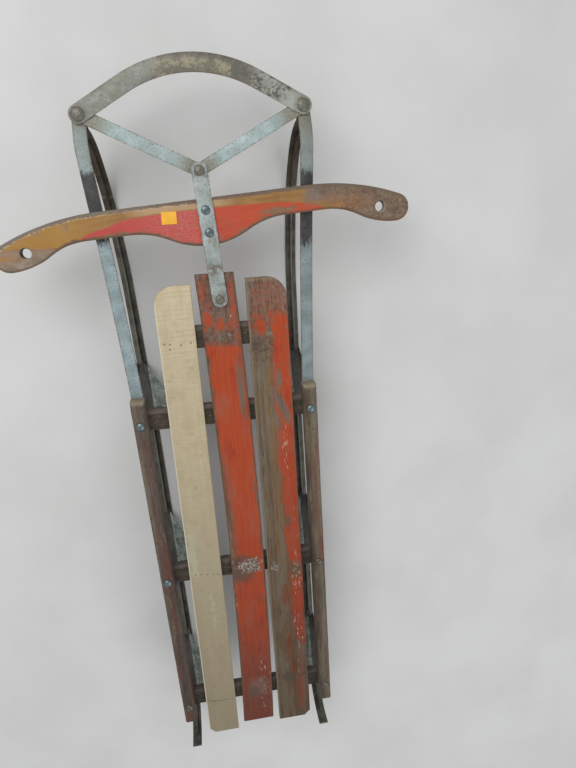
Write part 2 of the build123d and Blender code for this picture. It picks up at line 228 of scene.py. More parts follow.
# Left deck slat: a new board of pale pine, planed, its outer front corner sawn round and its outer rear one
# clipped, nailed to the cleat and benches. It is drawn out along the deck.
def pick(kind, test):
    """In edit mode, selects only the vertices, edges or faces that pass the test."""
    bpy.ops.mesh.select_mode(type=kind)
    bpy.ops.mesh.select_all(action="DESELECT")
    mesh = bmesh.from_edit_mesh(bpy.context.edit_object.data)
    for part in {"VERT": mesh.verts, "EDGE": mesh.edges, "FACE": mesh.faces}[kind]:
        if test(part):
            part.select_set(True)
    bmesh.update_edit_mesh(bpy.context.edit_object.data)


def draw_out(name, stations, across=0):
    """A bar drawn through stations of (x, y, z, width, depth, heading, pitch), in mm and degrees.

    Heading turns the path from +Y towards -X, pitch lifts it. across is the number of cuts over the width."""
    rows = [tuple(station) + (0,) * (7 - len(station)) for station in stations]
    bpy.ops.object.select_all(action="DESELECT")
    bpy.ops.mesh.primitive_plane_add(size=0.001, location=(0, 0, 0), rotation=(radians(90), 0, 0))
    bpy.ops.object.transform_apply(rotation=True)
    piece = bpy.context.object
    piece.name = name
    bpy.ops.object.mode_set(mode="EDIT")
    if across:
        pick("EDGE", lambda edge: abs(edge.verts[0].co.z - edge.verts[1].co.z) < 1e-6)
        bpy.ops.mesh.subdivide(number_cuts=across)
        bpy.ops.mesh.select_mode(type="FACE")
        bpy.ops.mesh.select_all(action="SELECT")
    old = (0, 0, 0, 1, 1, 0, 0)
    for count, row in enumerate(rows):
        shift = [(row[axis] - old[axis]) / 1000 for axis in range(3)]
        if count:
            bpy.ops.mesh.extrude_region_move(TRANSFORM_OT_translate={"value": shift})
        else:
            bpy.ops.transform.translate(value=shift)
        spot = [row[axis] / 1000 for axis in range(3)]
        before = Matrix.Rotation(radians(old[5]), 3, "Z") @ Matrix.Rotation(radians(old[6]), 3, "X")
        after = Matrix.Rotation(radians(row[5]), 3, "Z") @ Matrix.Rotation(radians(row[6]), 3, "X")
        grow = (row[3] / old[3], 1, row[4] / old[4])
        if abs(grow[0] - 1) > 1e-6 or abs(grow[2] - 1) > 1e-6:
            bpy.ops.transform.resize(value=grow, orient_type="LOCAL", orient_matrix=before,
                                     orient_matrix_type="LOCAL", center_override=spot)
        turn = (after @ before.inverted()).to_quaternion()
        if turn.angle > 1e-6:
            axis = "XYZ"[max(range(3), key=lambda part: abs(turn.axis[part]))]
            sign = 1 if turn.axis["XYZ".index(axis)] > 0 else -1
            bpy.ops.transform.rotate(value=-sign * turn.angle, orient_axis=axis, center_override=spot)
        old = row
    bpy.ops.mesh.select_all(action="SELECT")
    bpy.ops.mesh.normals_make_consistent(inside=False)
    bpy.ops.object.mode_set(mode="OBJECT")
    return piece


def use(piece):
    """Makes a piece the only one selected."""
    bpy.ops.object.select_all(action="DESELECT")
    piece.select_set(True)
    bpy.context.view_layer.objects.active = piece


def ease(piece, width, segments=2, angle=38):
    """Rounds every edge sharper than the angle, width in mm."""
    use(piece)
    bpy.ops.object.modifier_add(type="BEVEL")
    bevel = piece.modifiers[-1]
    bevel.width = width / 1000
    bevel.segments = segments
    bevel.limit_method = "ANGLE"
    bevel.angle_limit = radians(angle)
    bevel.use_clamp_overlap = True
    bpy.ops.object.modifier_apply(modifier=bevel.name)


def wear_down(piece, grain, depth):
    """Knocks and hollows: a cloud of the grain's size in mm moves the surface by up to depth."""
    use(piece)
    bpy.ops.object.modifier_add(type="DISPLACE")
    knocks = piece.modifiers[-1]
    knocks.texture = bpy.data.textures.new(piece.name, "CLOUDS")
    knocks.texture.noise_scale = grain / 1000
    knocks.texture_coords = "LOCAL"
    knocks.strength = depth / 1000
    knocks.mid_level = 0.75
    bpy.ops.object.modifier_apply(modifier=knocks.name)


def done(piece, finish, body, *nodes, angle=35):
    """Smooths, paints and fixes a piece to its body in the place of its CAD nodes."""
    use(piece)
    bpy.ops.object.shade_smooth_by_angle(angle=radians(angle))
    piece.data.materials.clear()
    piece.data.materials.append(finish)
    if body:
        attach(piece, body)
    if nodes:
        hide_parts(*nodes)


def even(start, end, count):
    """The ends and the marks between them that part a length into count equal steps."""
    return [start + (end - start) * part / count for part in range(count + 1)]


def board_rows(node, corner, side):
    """Stations of an outer slat: a round outer front corner and a clipped outer rear corner."""
    low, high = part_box(node)
    left, right, rear, front = low.x * 1000, high.x * 1000, low.y * 1000, high.y * 1000
    step, clip = 12, 12
    straight = front - corner - rear - clip
    spots = [rear, rear + clip * 0.5] + even(rear + clip, front - corner, int(straight / step))
    spots += [front - corner * (1 - sin(radians(turn))) for turn in (12, 24, 36, 48, 59, 68, 76, 83, 90)]
    rows = []
    for y in spots:
        cut = max(0, rear + clip - y)
        if y > front - corner:
            cut = corner - sqrt(max(0, corner**2 - (y - front + corner) ** 2))
        edges = (left + cut, right) if side < 0 else (left, right - cut)
        rows.append((sum(edges) / 2, y, slat_middle, edges[1] - edges[0], slat_thick))
    return rows


def timber(mm, run, dark, pale, fibre_scale):
    """Bare board: colour, fibres and rings, the grain along axis run."""
    squeeze = [1, 1, 1]
    squeeze[run] = 0.03
    fibre = mm.stretch(*squeeze).cloud(fibre_scale, 5, 0.65)
    squeeze[run] = 0.018
    rings = mm.stretch(*squeeze).cloud(0.11, 3, 0.55, 0.4)
    colour = (rings * 0.55 + fibre * 0.45).over(0.36, 0.64).tint(dark, pale)
    return colour, fibre, rings


def oval(x, y, spot, reach, lean=0):
    """How far inside an oval, in mm: its middle, its half axes and how far x goes along with y."""
    across, along = (x - spot[0] - (y - spot[1]) * lean) / reach[0], (y - spot[1]) / reach[1]
    return (1 - (across * across + along * along).root()) * min(reach)


def dot(x, y, spot, radius, soft=0.4):
    """1 inside a round spot."""
    return oval(x, y, spot, (radius, radius)).over(-soft, soft)


slat_middle, slat_thick = 145, 10
outer_side, inner_side = -98.4, -39.4
pine, mm = new_finish("pale pine")
x, y = mm.axes()[:2]
colour, fibre = timber(mm, 1, tone(174, 160, 131), tone(181, 168, 140), 0.5)[:2]
chatter = (y * 0.8 + mm.cloud(0.028, 3, aside=0.35) * 24).wave().over(-0.7, 1)
chatter = chatter * (y.over(110, 300) * 0.6 + 0.4) * mm.cloud(0.06, 3, aside=0.5).over(0.36, 0.56)
colour.wash(chatter, 0.22, 136, 116, 86)
score = mm.cloud(0.22, 3, aside=0.12).over(0.62, 0.67) * mm.cloud(0.02, 2).over(0.45, 0.55)
colour.wash(score, 0.35, 116, 100, 76)
colour.wash(mm.cloud(0.04, 5, 0.65, along=0.6).over(0.46, 0.62), 0.5, 164, 148, 118)
colour.wash(y.over(40, -200), 0.55, 160, 148, 122)
# Painted light falloff, with some real ageing: the board is darkened towards the rear and made paler at the front.
painted_light_falloff = y.trace([(-620, 0.58), (-430, 0.68), (-200, 0.82), (60, 0.93), (230, 1.04), (345, 1.16)])
colour = colour.shade(painted_light_falloff)
knot = dot(x, y, (-51.3, 35.8), 3.4, 3) * 0.6
knot = knot.most(dot(x, y, (-68.3, -26.3), 2.4, 2), dot(x, y, (-49.1, 197.7), 2.6, 2.4) * 0.5)
colour.wash(knot, 0.55, 132, 112, 76)
smear = (oval(x, y, (-89, -168), (10, 62)) + mm.cloud(0.09, 5, 0.65).swing(30)).over(-1, 5)
faint = (oval(x, y, (-62, -300), (5, 60)) + mm.cloud(0.1, 5, 0.7).swing(26)).over(-1, 4)
smear = smear.most(faint * 0.7)
smear = smear.most(dot(x, y, (-59.1, -51.7), 4.5, 3) * mm.cloud(0.3).over(0.4, 0.6))
colour.wash(smear, 0.4, 166, 170, 148)
scribe = (y + x * 0.08 + 532 + mm.cloud(0.06, 5, 0.7).swing(16)).size()
scribe = scribe.over(x.over(-40, -99) * 2 + 1.2, 0.2) * mm.cloud(0.1, 4, 0.7).over(0.36, 0.5)
bruise = mm.cloud(0.12, 6, 0.75).over(0.54, 0.62) * y.over(-100, -420)
grime = (scribe * 0.8).most(bruise * 0.3, mm.cloud(0.3, 4, along=0.4).over(0.68, 0.74) * 0.25)
colour = grime.tint(colour, tone(104, 92, 66))
# Painted highlight: a pale line along the outer edge, where the eased edge catches light.
colour.wash((x - outer_side).over(1.6, 0.2), 0.7, 206, 200, 180)
colour.wash((x - inner_side).over(0, 1), 0.45, 120, 98, 70)
relief = fibre * 0.1 - chatter * 0.1 - scribe * 0.3 - knot * 0.1
lay(pine, colour, fibre.over(0.3, 0.7) * 0.12 + 0.6, relief, shine=0.25)

slat = draw_out("left_slat", board_rows("slat_left", 32, -1), 5)
ease(slat, 1.1, 2)
wear_down(slat, 26, 0.25)
done(slat, pine, "frame", "slat_left")

# Centre slat: an old board, cut square and crooked as it grew, its red paint worn to grey wood along both edges
# and under the tiller. Its front end is split and rubbed round the pivot rivet.
def crooked(y):
    """The board's middle line."""
    return y * y * -4.09963e-05 + y * -0.01475414 + 11.7138


slat_wide = 63.5
low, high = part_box("slat_centre")
rows = [(crooked(at), at, slat_middle, slat_wide, slat_thick) for at in even(low.y * 1000, high.y * 1000, 80)]
slat = draw_out("centre_slat", rows, 5)
ease(slat, 1.4, 3)
wear_down(slat, 22, 0.6)


def old_wood(mm, dark, pale):
    """Weathered board with open checks along the grain: colour and relief."""
    colour, fibre, rings = timber(mm, 1, dark, pale, 0.55)
    check = (mm.cloud(0.28, 2, 0.5, 0.3, along=0.022) - 0.5).size().over(0.012, 0.002)
    check = check * mm.cloud(0.02).over(0.45, 0.6)
    blotch = mm.cloud(0.07, 5, 0.6, along=0.18)
    colour.wash(blotch.over(0.5, 0.66), 0.7, 112, 104, 92)
    colour.wash(blotch.over(0.44, 0.3), 0.8, 96, 66, 46)
    colour.wash(mm.cloud(0.5, 4, 0.7).over(0.58, 0.7), 0.4, 66, 52, 44)
    colour.wash(check, 0.6, 42, 31, 25)
    return colour, fibre * 0.2 + rings * 0.2 - check * 0.5


def red_paint(mm):
    """Old orange-red oil paint, brushed and faded: colour."""
    brushed = mm.cloud(0.35, 4, along=0.05)
    faded = mm.cloud(0.035, 5, 0.62, along=0.35)
    colour = brushed.over(0.3, 0.7).tint(tone(154, 58, 26), tone(162, 66, 32))
    colour.wash(faded.over(0.5, 0.68), 0.75, 146, 78, 56)
    colour.wash(faded.over(0.45, 0.32), 0.7, 138, 46, 26)
    colour.wash(mm.cloud(0.5, 3, 0.6).over(0.64, 0.72), 0.5, 104, 56, 38)
    return colour


def film(field, torn, bare, red):
    """Red paint over bare wood where the field is above 0, broken up and rubbed thin along its border."""
    cover = (field + torn).over(-2, 2.2)
    thin = (field + torn * 0.7).over(-11, 3) * 0.5
    return cover.tint(thin.tint(bare, tone(128, 74, 52)), red), cover


red_slat, mm = new_finish("worn red slat")
x, y = mm.axes()[:2]
u = x - crooked(y)
bare, relief = old_wood(mm, tone(88, 66, 54), tone(116, 90, 73))
grit = mm.cloud(0.16, 6, 0.8, along=0.7)
bare.wash(y.over(236, 250), 0.45, 106, 90, 80)
bare.wash(grit.over(0.53, 0.58) * y.over(225, 245), 0.7, 58, 47, 41)
bare.wash(grit.over(0.46, 0.41) * y.over(225, 245), 0.4, 134, 118, 104)
ragged = mm.cloud(0.14, 6, 0.68, along=0.3)
chips = mm.cloud(0.4, 6, 0.74, along=0.5)
torn = (ragged.swing(26) + chips.swing(26)) * (1 + y.over(222, 246) * 1.3)
left_edge = y.trace([(-600, -27), (-500, -28.5), (-400, -27), (-333, -28), (-259, -29), (-200, -24), (-143, -22.5),
                     (-87, -21), (-50, -24), (22, -26), (41, -29), (131, -28), (200, -27), (300, -26)])
right_edge = y.trace([(-600, 28), (-504, 29.5), (-345, 30.5), (-270, 29), (-163, 30), (33, 30.5), (124, 30),
                      (218, 27), (300, 29)])
main = (u - left_edge).least(right_edge - u, 235 - (u + 25) * 0.14 - y)
front_rests = oval(u, y, (-20, 282), (10, 26)).most(
    oval(u, y, (-22.5, 326), (7, 26)),
    oval(u, y, (24, 286), (9, 66)),
    oval(u, y, (1, 266), (20, 20)) - 7) - 5
scuff = oval(u, y, (20.5, 150), (5.5, 52))
paint = main.most(front_rests).least(
    1 - scuff,
    1 - oval(u, y, (27, -52), (5, 24)),
    -1 - oval(u, y, (-22, -214), (15, 26)))
red = red_paint(mm)
dull = (-14 - u + ragged.swing(14)).over(-4, 5) * y.over(60, 0) * y.over(-290, -210)
red.wash(dull, 0.6, 128, 76, 58)
# Painted light falloff, with some real fading: the red is darkened towards the rear.
rear = y.over(-300, -540)
red.wash(rear, 0.75, 114, 58, 44)
red.wash(mm.cloud(0.16, 6, 0.7, along=0.08).over(0.5, 0.6) * rear, 0.65, 112, 80, 66)
red.wash(mm.cloud(0.12, 6, 0.74, along=0.25).over(0.52, 0.62) * y.over(-60, -420), 0.5, 98, 50, 40)
colour, cover = film(paint, torn, bare, red)
# Painted light falloff, with some real ageing: the board is darkened towards the rear.
colour = colour.shade(y.trace([(-600, 0.58), (-450, 0.68), (-250, 0.82), (0, 0.98), (355, 1)]))
worn_edge = (slat_wide / 2 - u.size() + ragged.swing(7)).over(4.6, 1.2)
colour.wash(worn_edge, 0.7, 98, 66, 44)
grey = (scuff + ragged.swing(14)).over(-2, 3) * 0.75
grey = grey.most((oval(u, y, (3, -506), (24, 26)) - 3 + torn * 1.6).over(-8, 12) * 0.5)
colour = grey.tint(colour, tone(104, 88, 76))
flake = mm.cloud(0.26, 6, 0.78)
scraped = (oval(u, y, (3, -208), (22, 16)) + mm.cloud(0.08, 6, 0.75).swing(60)).over(-2, 3)
bald = (oval(u, y, (-10, -212), (30, 30)) + ragged.swing(40) + torn).over(-4, 8)
colour.wash(bald, 0.75, 88, 64, 53)
colour = (scraped * 0.9).tint(colour, flake.over(0.4, 0.6).tint(tone(64, 54, 46), tone(136, 130, 120)))
colour.wash(scraped * mm.cloud(0.09, 4, 0.7).over(0.5, 0.44), 0.7, 98, 66, 52)
white = mm.cloud(0.13, 6, 0.74).over(0.51, 0.56) * scraped * (flake.over(0.4, 0.5) * 0.6 + 0.4)
tail_chips = mm.cloud(0.3, 6, 0.74, along=0.2).over(0.58, 0.62)
edge_chips = mm.cloud(0.3, 6, 0.76, along=0.3).over(0.56, 0.6)
white = white.most(tail_chips * oval(u, y, (17, -500), (13, 80)).over(-4, 4),
                   edge_chips * oval(u, y, (-29, -230), (4.5, 110)).over(-1, 2))
colour = (white * 0.75).tint(colour, flake.over(0.54, 0.6).tint(tone(140, 134, 124), tone(186, 184, 176)))
ghost = (oval(u, y, (-6.8, -518.7), (7, 7)).size() + flake.swing(8)).over(3.6, 0.2)
ghost = ghost * mm.cloud(0.12).over(0.35, 0.55) * 0.7
dirty = (oval(u, y, (-6.8, -518.7), (13, 14)) + flake.swing(60)).over(-2, 3)
colour.wash(dirty, 0.7, 74, 62, 54)
ghost = ghost.most(oval(u, y, (11.9, 249.8), (4.4, 4.4)).size().over(1.6, 0.4))
colour.wash(ghost, 0.6, 70, 56, 48)
pale_head = dot(u, y, (11.9, 249.8), 3.6, 1.5) * mm.cloud(0.4).over(0.35, 0.6)
colour.wash(pale_head, 0.7, 128, 126, 112)
splinter = mm.cloud(0.35, 3, along=0.2).over(0.66, 0.71) * oval(u, y, (8, 284), (13, 10)).over(-3, 2)
colour = splinter.tint(colour, tone(196, 188, 172))
relief = relief * (1 - cover * 0.7) + cover * 0.2 - white * 0.1
lay(red_slat, colour, cover * -0.16 + 0.78, relief, shine=0.25)
done(slat, red_slat, "frame", "slat_centre")

# Right slat: an old board shaped like the left one, nailed down, weathered to grey-brown wood on its inner half.
# Red paint is left along its outer half, chipped and scratched.
brown_slat, mm = new_finish("worn brown slat")
x, y = mm.axes()[:2]
bare, relief = old_wood(mm, tone(92, 76, 59), tone(118, 100, 79))
grit = mm.cloud(0.16, 6, 0.8, along=0.7)
bare.wash(y.over(170, 300), 0.5, 110, 92, 82)
bare.wash(grit.over(0.52, 0.58) * y.over(150, 230), 0.7, 58, 47, 41)
bare.wash(grit.over(0.45, 0.4) * y.over(200, 240), 0.4, 134, 118, 104)
ragged = mm.cloud(0.14, 6, 0.68, along=0.22)
chips = mm.cloud(0.4, 6, 0.74, along=0.4)
torn = (ragged.swing(26) + chips.swing(26)) * (1 + y.over(236, 262))
inner = y.trace([(-420, 112), (-401, 104), (-387, 98), (-347, 94), (-312, 92), (-255, 94), (-223, 97), (-190, 92),
                 (-151, 89), (-118, 93), (-65, 89), (-30, 91), (9, 86), (54, 87), (82, 94), (123, 87), (182, 88.5),
                 (242, 90.5), (279, 85)])
paint = (x - inner).least(116.4 - x, 281 - y, y + 412).most(oval(x, y, (69, 262), (9, 15)))
gap = oval(x, y, (95.7, 163), (5, 20))
paint = paint.least(1 - gap, 0 - oval(x, y, (98.7, 113), (7.5, 34), -0.36),
                    1 - oval(x, y, (95, -122), (5, 17)), 0 - oval(x, y, (104, -233), (13, 20)))
red = red_paint(mm)
red.wash(y.over(-240, -400), 0.6, 134, 50, 34)
pink = oval(x, y, (86, 302), (34, 40)).over(-4, 12) * chips.over(0.44, 0.58)
bare.wash(pink, 0.7, 146, 78, 56)
ochre_line = y.trace([(-220, 74), (-156, 72), (-120, 82), (-37, 82), (40, 76), (70, 80), (135, 71), (172, 80),
                      (230, 78)])
ochre = (4 - (x - ochre_line).size() + ragged.swing(20)).over(-2, 5) * y.over(215, 180) * y.over(-240, -170)
rusty = oval(x, y, (81, -290), (7.5, 28)).most(
    oval(x, y, (83, -407), (7.5, 36)),
    oval(x, y, (88, -475), (6, 40)),
    oval(x, y, (98, -535), (12, 52)) - 3)
rusty = (rusty + ragged.swing(26) + chips.swing(12)).over(-1.5, 4)
patchy = mm.cloud(0.05, 6, 0.7, along=0.3)
bare.wash(patchy.over(0.5, 0.6) * y.over(-120, -260), 0.6, 100, 70, 50)
bare.wash(patchy.over(0.48, 0.4) * y.over(-120, -260), 0.5, 112, 96, 78)
bare.wash(ochre, 0.6, 124, 90, 48)
bare.wash(rusty, 0.8, 122, 66, 36)
stain = (oval(x, y, (78, -497), (13, 18)) + chips.swing(24)).over(-1, 4)
bare.wash(stain, 0.6, 78, 72, 60)
bare.wash((oval(x, y, (104, -500), (9, 100)) + torn).over(-3, 6), 0.5, 138, 82, 68)
colour, cover = film(paint, torn, bare, red)
# Painted light falloff, with some real ageing: the board is darkened towards the rear.
colour = colour.shade(y.trace([(-610, 0.6), (-450, 0.66), (-250, 0.76), (0, 0.9), (200, 1), (345, 1)]))
grey = (oval(x, y, (98.7, 113), (8.5, 36), -0.36).most(gap) + ragged.swing(12)).over(-2, 3)
colour.wash(grey, 0.6, 112, 92, 84)
scratch = mm.cloud(0.5, 3, along=0.06).over(0.66, 0.7) * (x - 91).over(0, 6)
scratch = scratch * mm.cloud(0.016, 2).over(0.45, 0.6)
specks = oval(x, y, (104, -238), (15, 28)).most(oval(x, y, (66, -222), (8, 12))).over(-2, 2)
specks = mm.cloud(0.5, 5, 0.72).over(0.6, 0.65) * specks
chipped = oval(x, y, (106, -245), (9, 55)).most(
    oval(x, y, (104, -372), (9, 44)),
    oval(x, y, (99, 20), (5, 60))).over(-3, 3)
chipped = mm.cloud(0.22, 6, 0.76, along=0.3).over(0.555, 0.6) * chipped
colour = (scratch * 0.65).most(specks * 0.8, chipped * 0.8).tint(colour, tone(182, 172, 156))
chip = (oval(x, y, (65, -219), (7, 10)) + mm.cloud(0.12, 6, 0.75).swing(26)).over(-1, 2)
chalky = mm.cloud(0.3, 5, 0.75).over(0.44, 0.56).tint(tone(58, 52, 46), tone(142, 138, 130))
colour = (chip * 0.85).tint(colour, chalky)
knot = (oval(x, y, (63, 230), (10, 15)) + chips.swing(14)).over(-1, 4)
colour.wash(knot, 0.5, 70, 60, 54)
nose = (y - 332 - ragged.swing(12)).over(0, 6)
colour.wash(nose, 0.45, 146, 126, 102)
colour.wash(dot(x, y, (84.1, 246.2), 4, 2) * mm.cloud(0.3).over(0.35, 0.6), 0.7, 118, 116, 106)
# Painted highlight: a pale line along the inner edge, where the eased edge catches light.
colour.wash((x - 51.6).over(2, 0.2), 0.5, 132, 120, 98)
lay(brown_slat, colour, cover * -0.16 + 0.8, relief * (1 - cover * 0.7) + cover * 0.2, shine=0.25)

slat = draw_out("right_slat", board_rows("slat_right", 33, 1), 5)
ease(slat, 1.6, 3)
wear_down(slat, 22, 0.6)
done(slat, brown_slat, "frame", "slat_right")

# Cleat and benches: hardwood crosspieces that the slats are nailed to, the benches also bolted to the knees.
# They are dark with age; their front edges are painted paler, a painted highlight where the front edges catch
# light.
bench_wood, mm = new_finish("dark bench wood")
y = mm.axes()[1]
colour, fibre = timber(mm, 0, tone(58, 51, 42), tone(80, 71, 60), 0.5)[:2]
blotch = mm.cloud(0.05, 5, 0.6, aside=0.5)
colour.wash(blotch.over(0.54, 0.7), 0.7, 98, 90, 78)
front_lip = (266.5 - y).size().least((126.9 - y).size(), (y + 191.5).size(), (y + 498.3).size())
# Painted highlight: the front edge of each crosspiece is painted paler, as lit, against the darker rest.
lip_highlight = (front_lip + blotch.swing(18)).over(10, 5)
colour.wash(lip_highlight, 0.55, 114, 104, 100)
colour.wash(mm.cloud(0.2, 6, 0.76, aside=0.6).over(0.55, 0.62), 0.5, 122, 114, 102)
# Painted light falloff, with some real ageing: the wood is darkened towards the rear.
colour = colour.shade(y.trace([(-540, 0.62), (-200, 0.7), (110, 0.86), (270, 1)]))
lay(bench_wood, colour, 0.78, fibre * 0.2 + blotch * 0.3, shine=0.25)
bench_middle, bench_thick = 133, 14
for name, node in (("cleat", "front_cleat"), ("front_bench", "bench_front"), ("middle_bench", "bench_middle"),
                   ("rear_bench", "bench_rear")):
    low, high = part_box(node)
    row = ((low.y + high.y) * 500, bench_middle, (high.y - low.y) * 1000, bench_thick, -90)
    bench = draw_out(name, [(at, *row) for at in even(low.x * 1000, high.x * 1000, 16)], 3)
    ease(bench, 1.8, 3)
    wear_down(bench, 18, 0.5)
    done(bench, bench_wood, "frame", node)

# Side rails: hardwood bars with rounded upper edges, bolted down through the straps and benches. Their brown
# paint has worn off with handling.
rail_wood, mm = new_finish("handled rail wood")
x, y = mm.axes()[:2]
on_right = x.over(-30, 30)
dark = on_right.tint(tone(68, 57, 50), tone(76, 66, 53))
pale = on_right.tint(tone(94, 82, 73), tone(104, 93, 77))
colour, fibre = timber(mm, 1, dark, pale, 0.55)[:2]
worn = mm.cloud(0.07, 6, 0.68, along=0.16)
colour.wash(worn.over(0.5, 0.62), 0.7, 118, 104, 84)
colour.wash(worn.over(0.48, 0.36), 0.75, 70, 53, 44)
# Painted highlight: the rounded outer edges of the rails are painted paler, as lit.
outer = (x.size() - 143).over(0, 9) * mm.cloud(0.06, 4, along=0.1).over(0.35, 0.6)
colour.wash(outer, 0.45, 128, 116, 96)
flush = (x - on_right * 290 + 145).over(-5, 6) * y.over(90, 50)
flush = mm.cloud(0.09, 4, along=0.06).over(0.48, 0.6) * flush
colour = (flush * (y.over(-100, -220) * 0.3 + 0.6)).tint(colour, tone(108, 58, 46))
dirt = mm.cloud(0.16, 6, 0.75, along=0.5).over(0.54, 0.64)
colour.wash(dirt, 0.6, 50, 40, 32)
nick = (mm.cloud(0.22, 2, along=0.5) - 0.5).size().over(0.01, 0) * mm.cloud(0.04).over(0.55, 0.65)
colour.wash(nick, 0.5, 140, 126, 104)
end = (y - 142 - mm.cloud(0.2) * 6).over(-1, 5)
colour.wash(end, 0.75, 138, 128, 106)
# Painted light falloff, with some real ageing: the wood is darkened towards the rear.
colour = colour.shade(y.trace([(-560, 0.68), (-200, 0.8), (110, 1), (150, 1)]))
lay(rail_wood, colour, worn * 0.2 + 0.5, fibre * 0.2 + worn * 0.4 - nick * 0.3, shine=0.3)
deck_x, apex_x = 8.9276, -5.6142
rail_rear, rail_front, tip_y = -558.98, 152.37, 592.65
half_rear, half_front = 141.4, 147.1
rail_middle, rail_wide, rail_thick = 152.5, 24.6, 25
sway = (deck_x - apex_x) / (tip_y - rail_rear)


def centre(y):
    """Where the racked frame's middle line stands."""
    return deck_x - sway * max(0, y - rail_rear)


def rail_line(side, y):
    """Where a rail's middle stands, side -1 for the left one."""
    return centre(y) + side * (half_rear + (half_front - half_rear) * (y - rail_rear) / (rail_front - rail_rear))


for name, node, side in (("left_rail", "rail_left", -1), ("right_rail", "rail_right", 1)):
    row = (rail_middle, rail_wide, rail_thick)
    rail = draw_out(name, [(rail_line(side, at), at, *row) for at in even(rail_rear, rail_front, 58)], 1)
    bpy.ops.object.mode_set(mode="EDIT")
    pick("EDGE", lambda edge: all(vert.co.z > 0.1645 for vert in edge.verts) and len(edge.link_faces) == 2
         and edge.calc_face_angle(0) > 1)
    bpy.ops.mesh.bevel(offset=0.0075, segments=5, affect="EDGES")
    bpy.ops.object.mode_set(mode="OBJECT")
    ease(rail, 1.6, 2)
    wear_down(rail, 24, 0.8)
    done(rail, rail_wood, "frame", node, angle=50)

# Side straps: flat bar, bolted under the rails and riveted to the bumper's ends, silver paint worn to the steel
# where the steering bar's ends rub over them.
def follow(points, at):
    """The value at a station on a smooth line through (station, value) points."""
    last = len(points) - 1
    part = max([0] + [index for index in range(last) if points[index][0] <= at])
    slopes = []
    for index in (part, part + 1):
        low, high = points[max(index - 1, 0)], points[min(index + 1, last)]
        slopes.append((high[1] - low[1]) / (high[0] - low[0]))
    (start, first), (end, second) = points[part], points[part + 1]
    run = end - start
    share = (at - start) / run
    rise = share**2 * (3 - 2 * share)
    return (first * (1 - rise) + second * rise + slopes[0] * run * share * (1 - share) ** 2
            - slopes[1] * run * share**2 * (1 - share))


round_turns = (15, 30, 44, 57, 69, 79, 86)


def strip(name, path, width, depth):
    """A flat bar along (x, y, z) points in mm, with round ends past the first and last."""
    rows = []
    for index, spot in enumerate(path):
        low, high = path[max(index - 1, 0)], path[min(index + 1, len(path) - 1)]
        rows.append((*spot, width, depth, degrees(atan2(low[0] - high[0], high[1] - low[1]))))
    ends = []
    for row, sign in ((rows[0], -1), (rows[-1], 1)):
        heading = radians(row[5])
        for turn in round_turns:
            out = sign * width / 2 * sin(radians(turn))
            spot = (row[0] - out * sin(heading), row[1] + out * cos(heading), row[2])
            ends.append((*spot, width * cos(radians(turn)), depth, row[5]))
    return draw_out(name, ends[6::-1] + rows + ends[7:])


def beside(line, side, at):
    """Where a side piece's middle stands, by its line of (station, distance from the sled's middle)."""
    return centre(at) + side * follow(line, at)


def coated(name, deep, pale):
    """Silver paint on steel: the material, its coordinates, the paint's colour, a broad and a fine noise."""
    finish, mm = new_finish(name)
    broad = mm.cloud(0.05, 4, 0.6)
    fine = mm.cloud(0.35, 5, 0.72)
    coat = broad.over(0.35, 0.65).tint(deep, pale)
    coat.wash(fine.over(0.42, 0.3), 0.4, 172, 182, 178)
    coat.wash(mm.cloud(0.1, 6, 0.75).over(0.48, 0.6), 0.45, 122, 120, 106)
    coat.wash(mm.cloud(0.28, 6, 0.78).over(0.57, 0.62), 0.8, 84, 72, 58)
    return finish, mm, coat, broad, fine


def rubbed_steel(broad, fine):
    """Dark steel that rubbing keeps free of paint."""
    steel = broad.over(0.38, 0.62).tint(tone(42, 42, 40), tone(56, 58, 57))
    steel.wash(fine.over(0.57, 0.63), 0.6, 106, 108, 102)
    return steel


def tan(fine):
    """Paint worn down to its tan ground."""
    return fine.over(0.38, 0.64).tint(tone(98, 92, 76), tone(138, 132, 114))


def rust(fine):
    """Brown rust."""
    return fine.over(0.35, 0.65).tint(tone(62, 44, 33), tone(100, 72, 50))


strap_rear, strap_middle, strap_wide, strap_thick = 92.87, 141.5, 20, 3
strap_line = [(strap_rear, 146.6), (rail_front, 147.3), (287.5, 153.2), (401.5, 159.3), (509.55, 166.4),
              (550.05, 168.3), (tip_y, 165)]
left_paint = (tone(122, 138, 141), tone(146, 163, 167))
right_paint = (tone(106, 120, 122), tone(130, 144, 147))
for name, node, side, paint, rear, front, tan_from in (
        ("left_side_strap", "side_strap_left", -1, left_paint, 413, 514, 572),
        ("right_side_strap", "side_strap_right", 1, right_paint, 388, 500, 556)):
    finish, mm, coat, broad, fine = coated(name + "_paint", *paint)
    x, y = mm.axes()[:2]
    ragged = mm.cloud(0.2, 6, 0.72, along=0.25)
    wear = (y - rear + ragged.swing(70)).least(front - y + ragged.swing(40)).over(-5, 5)
    chip = fine.over(0.62, 0.66) * y.over(450, 400) * y.over(250, 300)
    coat.wash((y - 470).over(0, 80), 0.45, 126, 126, 114)
    colour = wear.most(chip).tint(coat, rubbed_steel(broad, fine))
    tip = (y - tan_from + broad.swing(60)).over(-10, 14)
    colour = (tip * 0.8).tint(colour, tan(fine))
    line = [(at, beside(strap_line, side, at)) for at in even(90, 600, 16)]
    edge = ((x - y.trace(line)).size() - 8.7 + fine.swing(18)).over(0, 1.6)
    colour = (edge * 0.75).tint(colour, rust(fine))
    colour = (mm.cloud(0.2, 5, 0.7).over(0.64, 0.7) * 0.6).tint(colour, rust(fine))
    lay(finish, colour, wear * -0.1 + 0.56, fine * 0.12 - wear * 0.1, metal=0.25)
    path = [(beside(strap_line, side, at), at, strap_middle) for at in even(strap_rear, tip_y, 44)]
    strap = strip(name, path, strap_wide, strap_thick)
    ease(strap, 0.5, 2)
    done(strap, finish, None, node)
    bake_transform(strap)

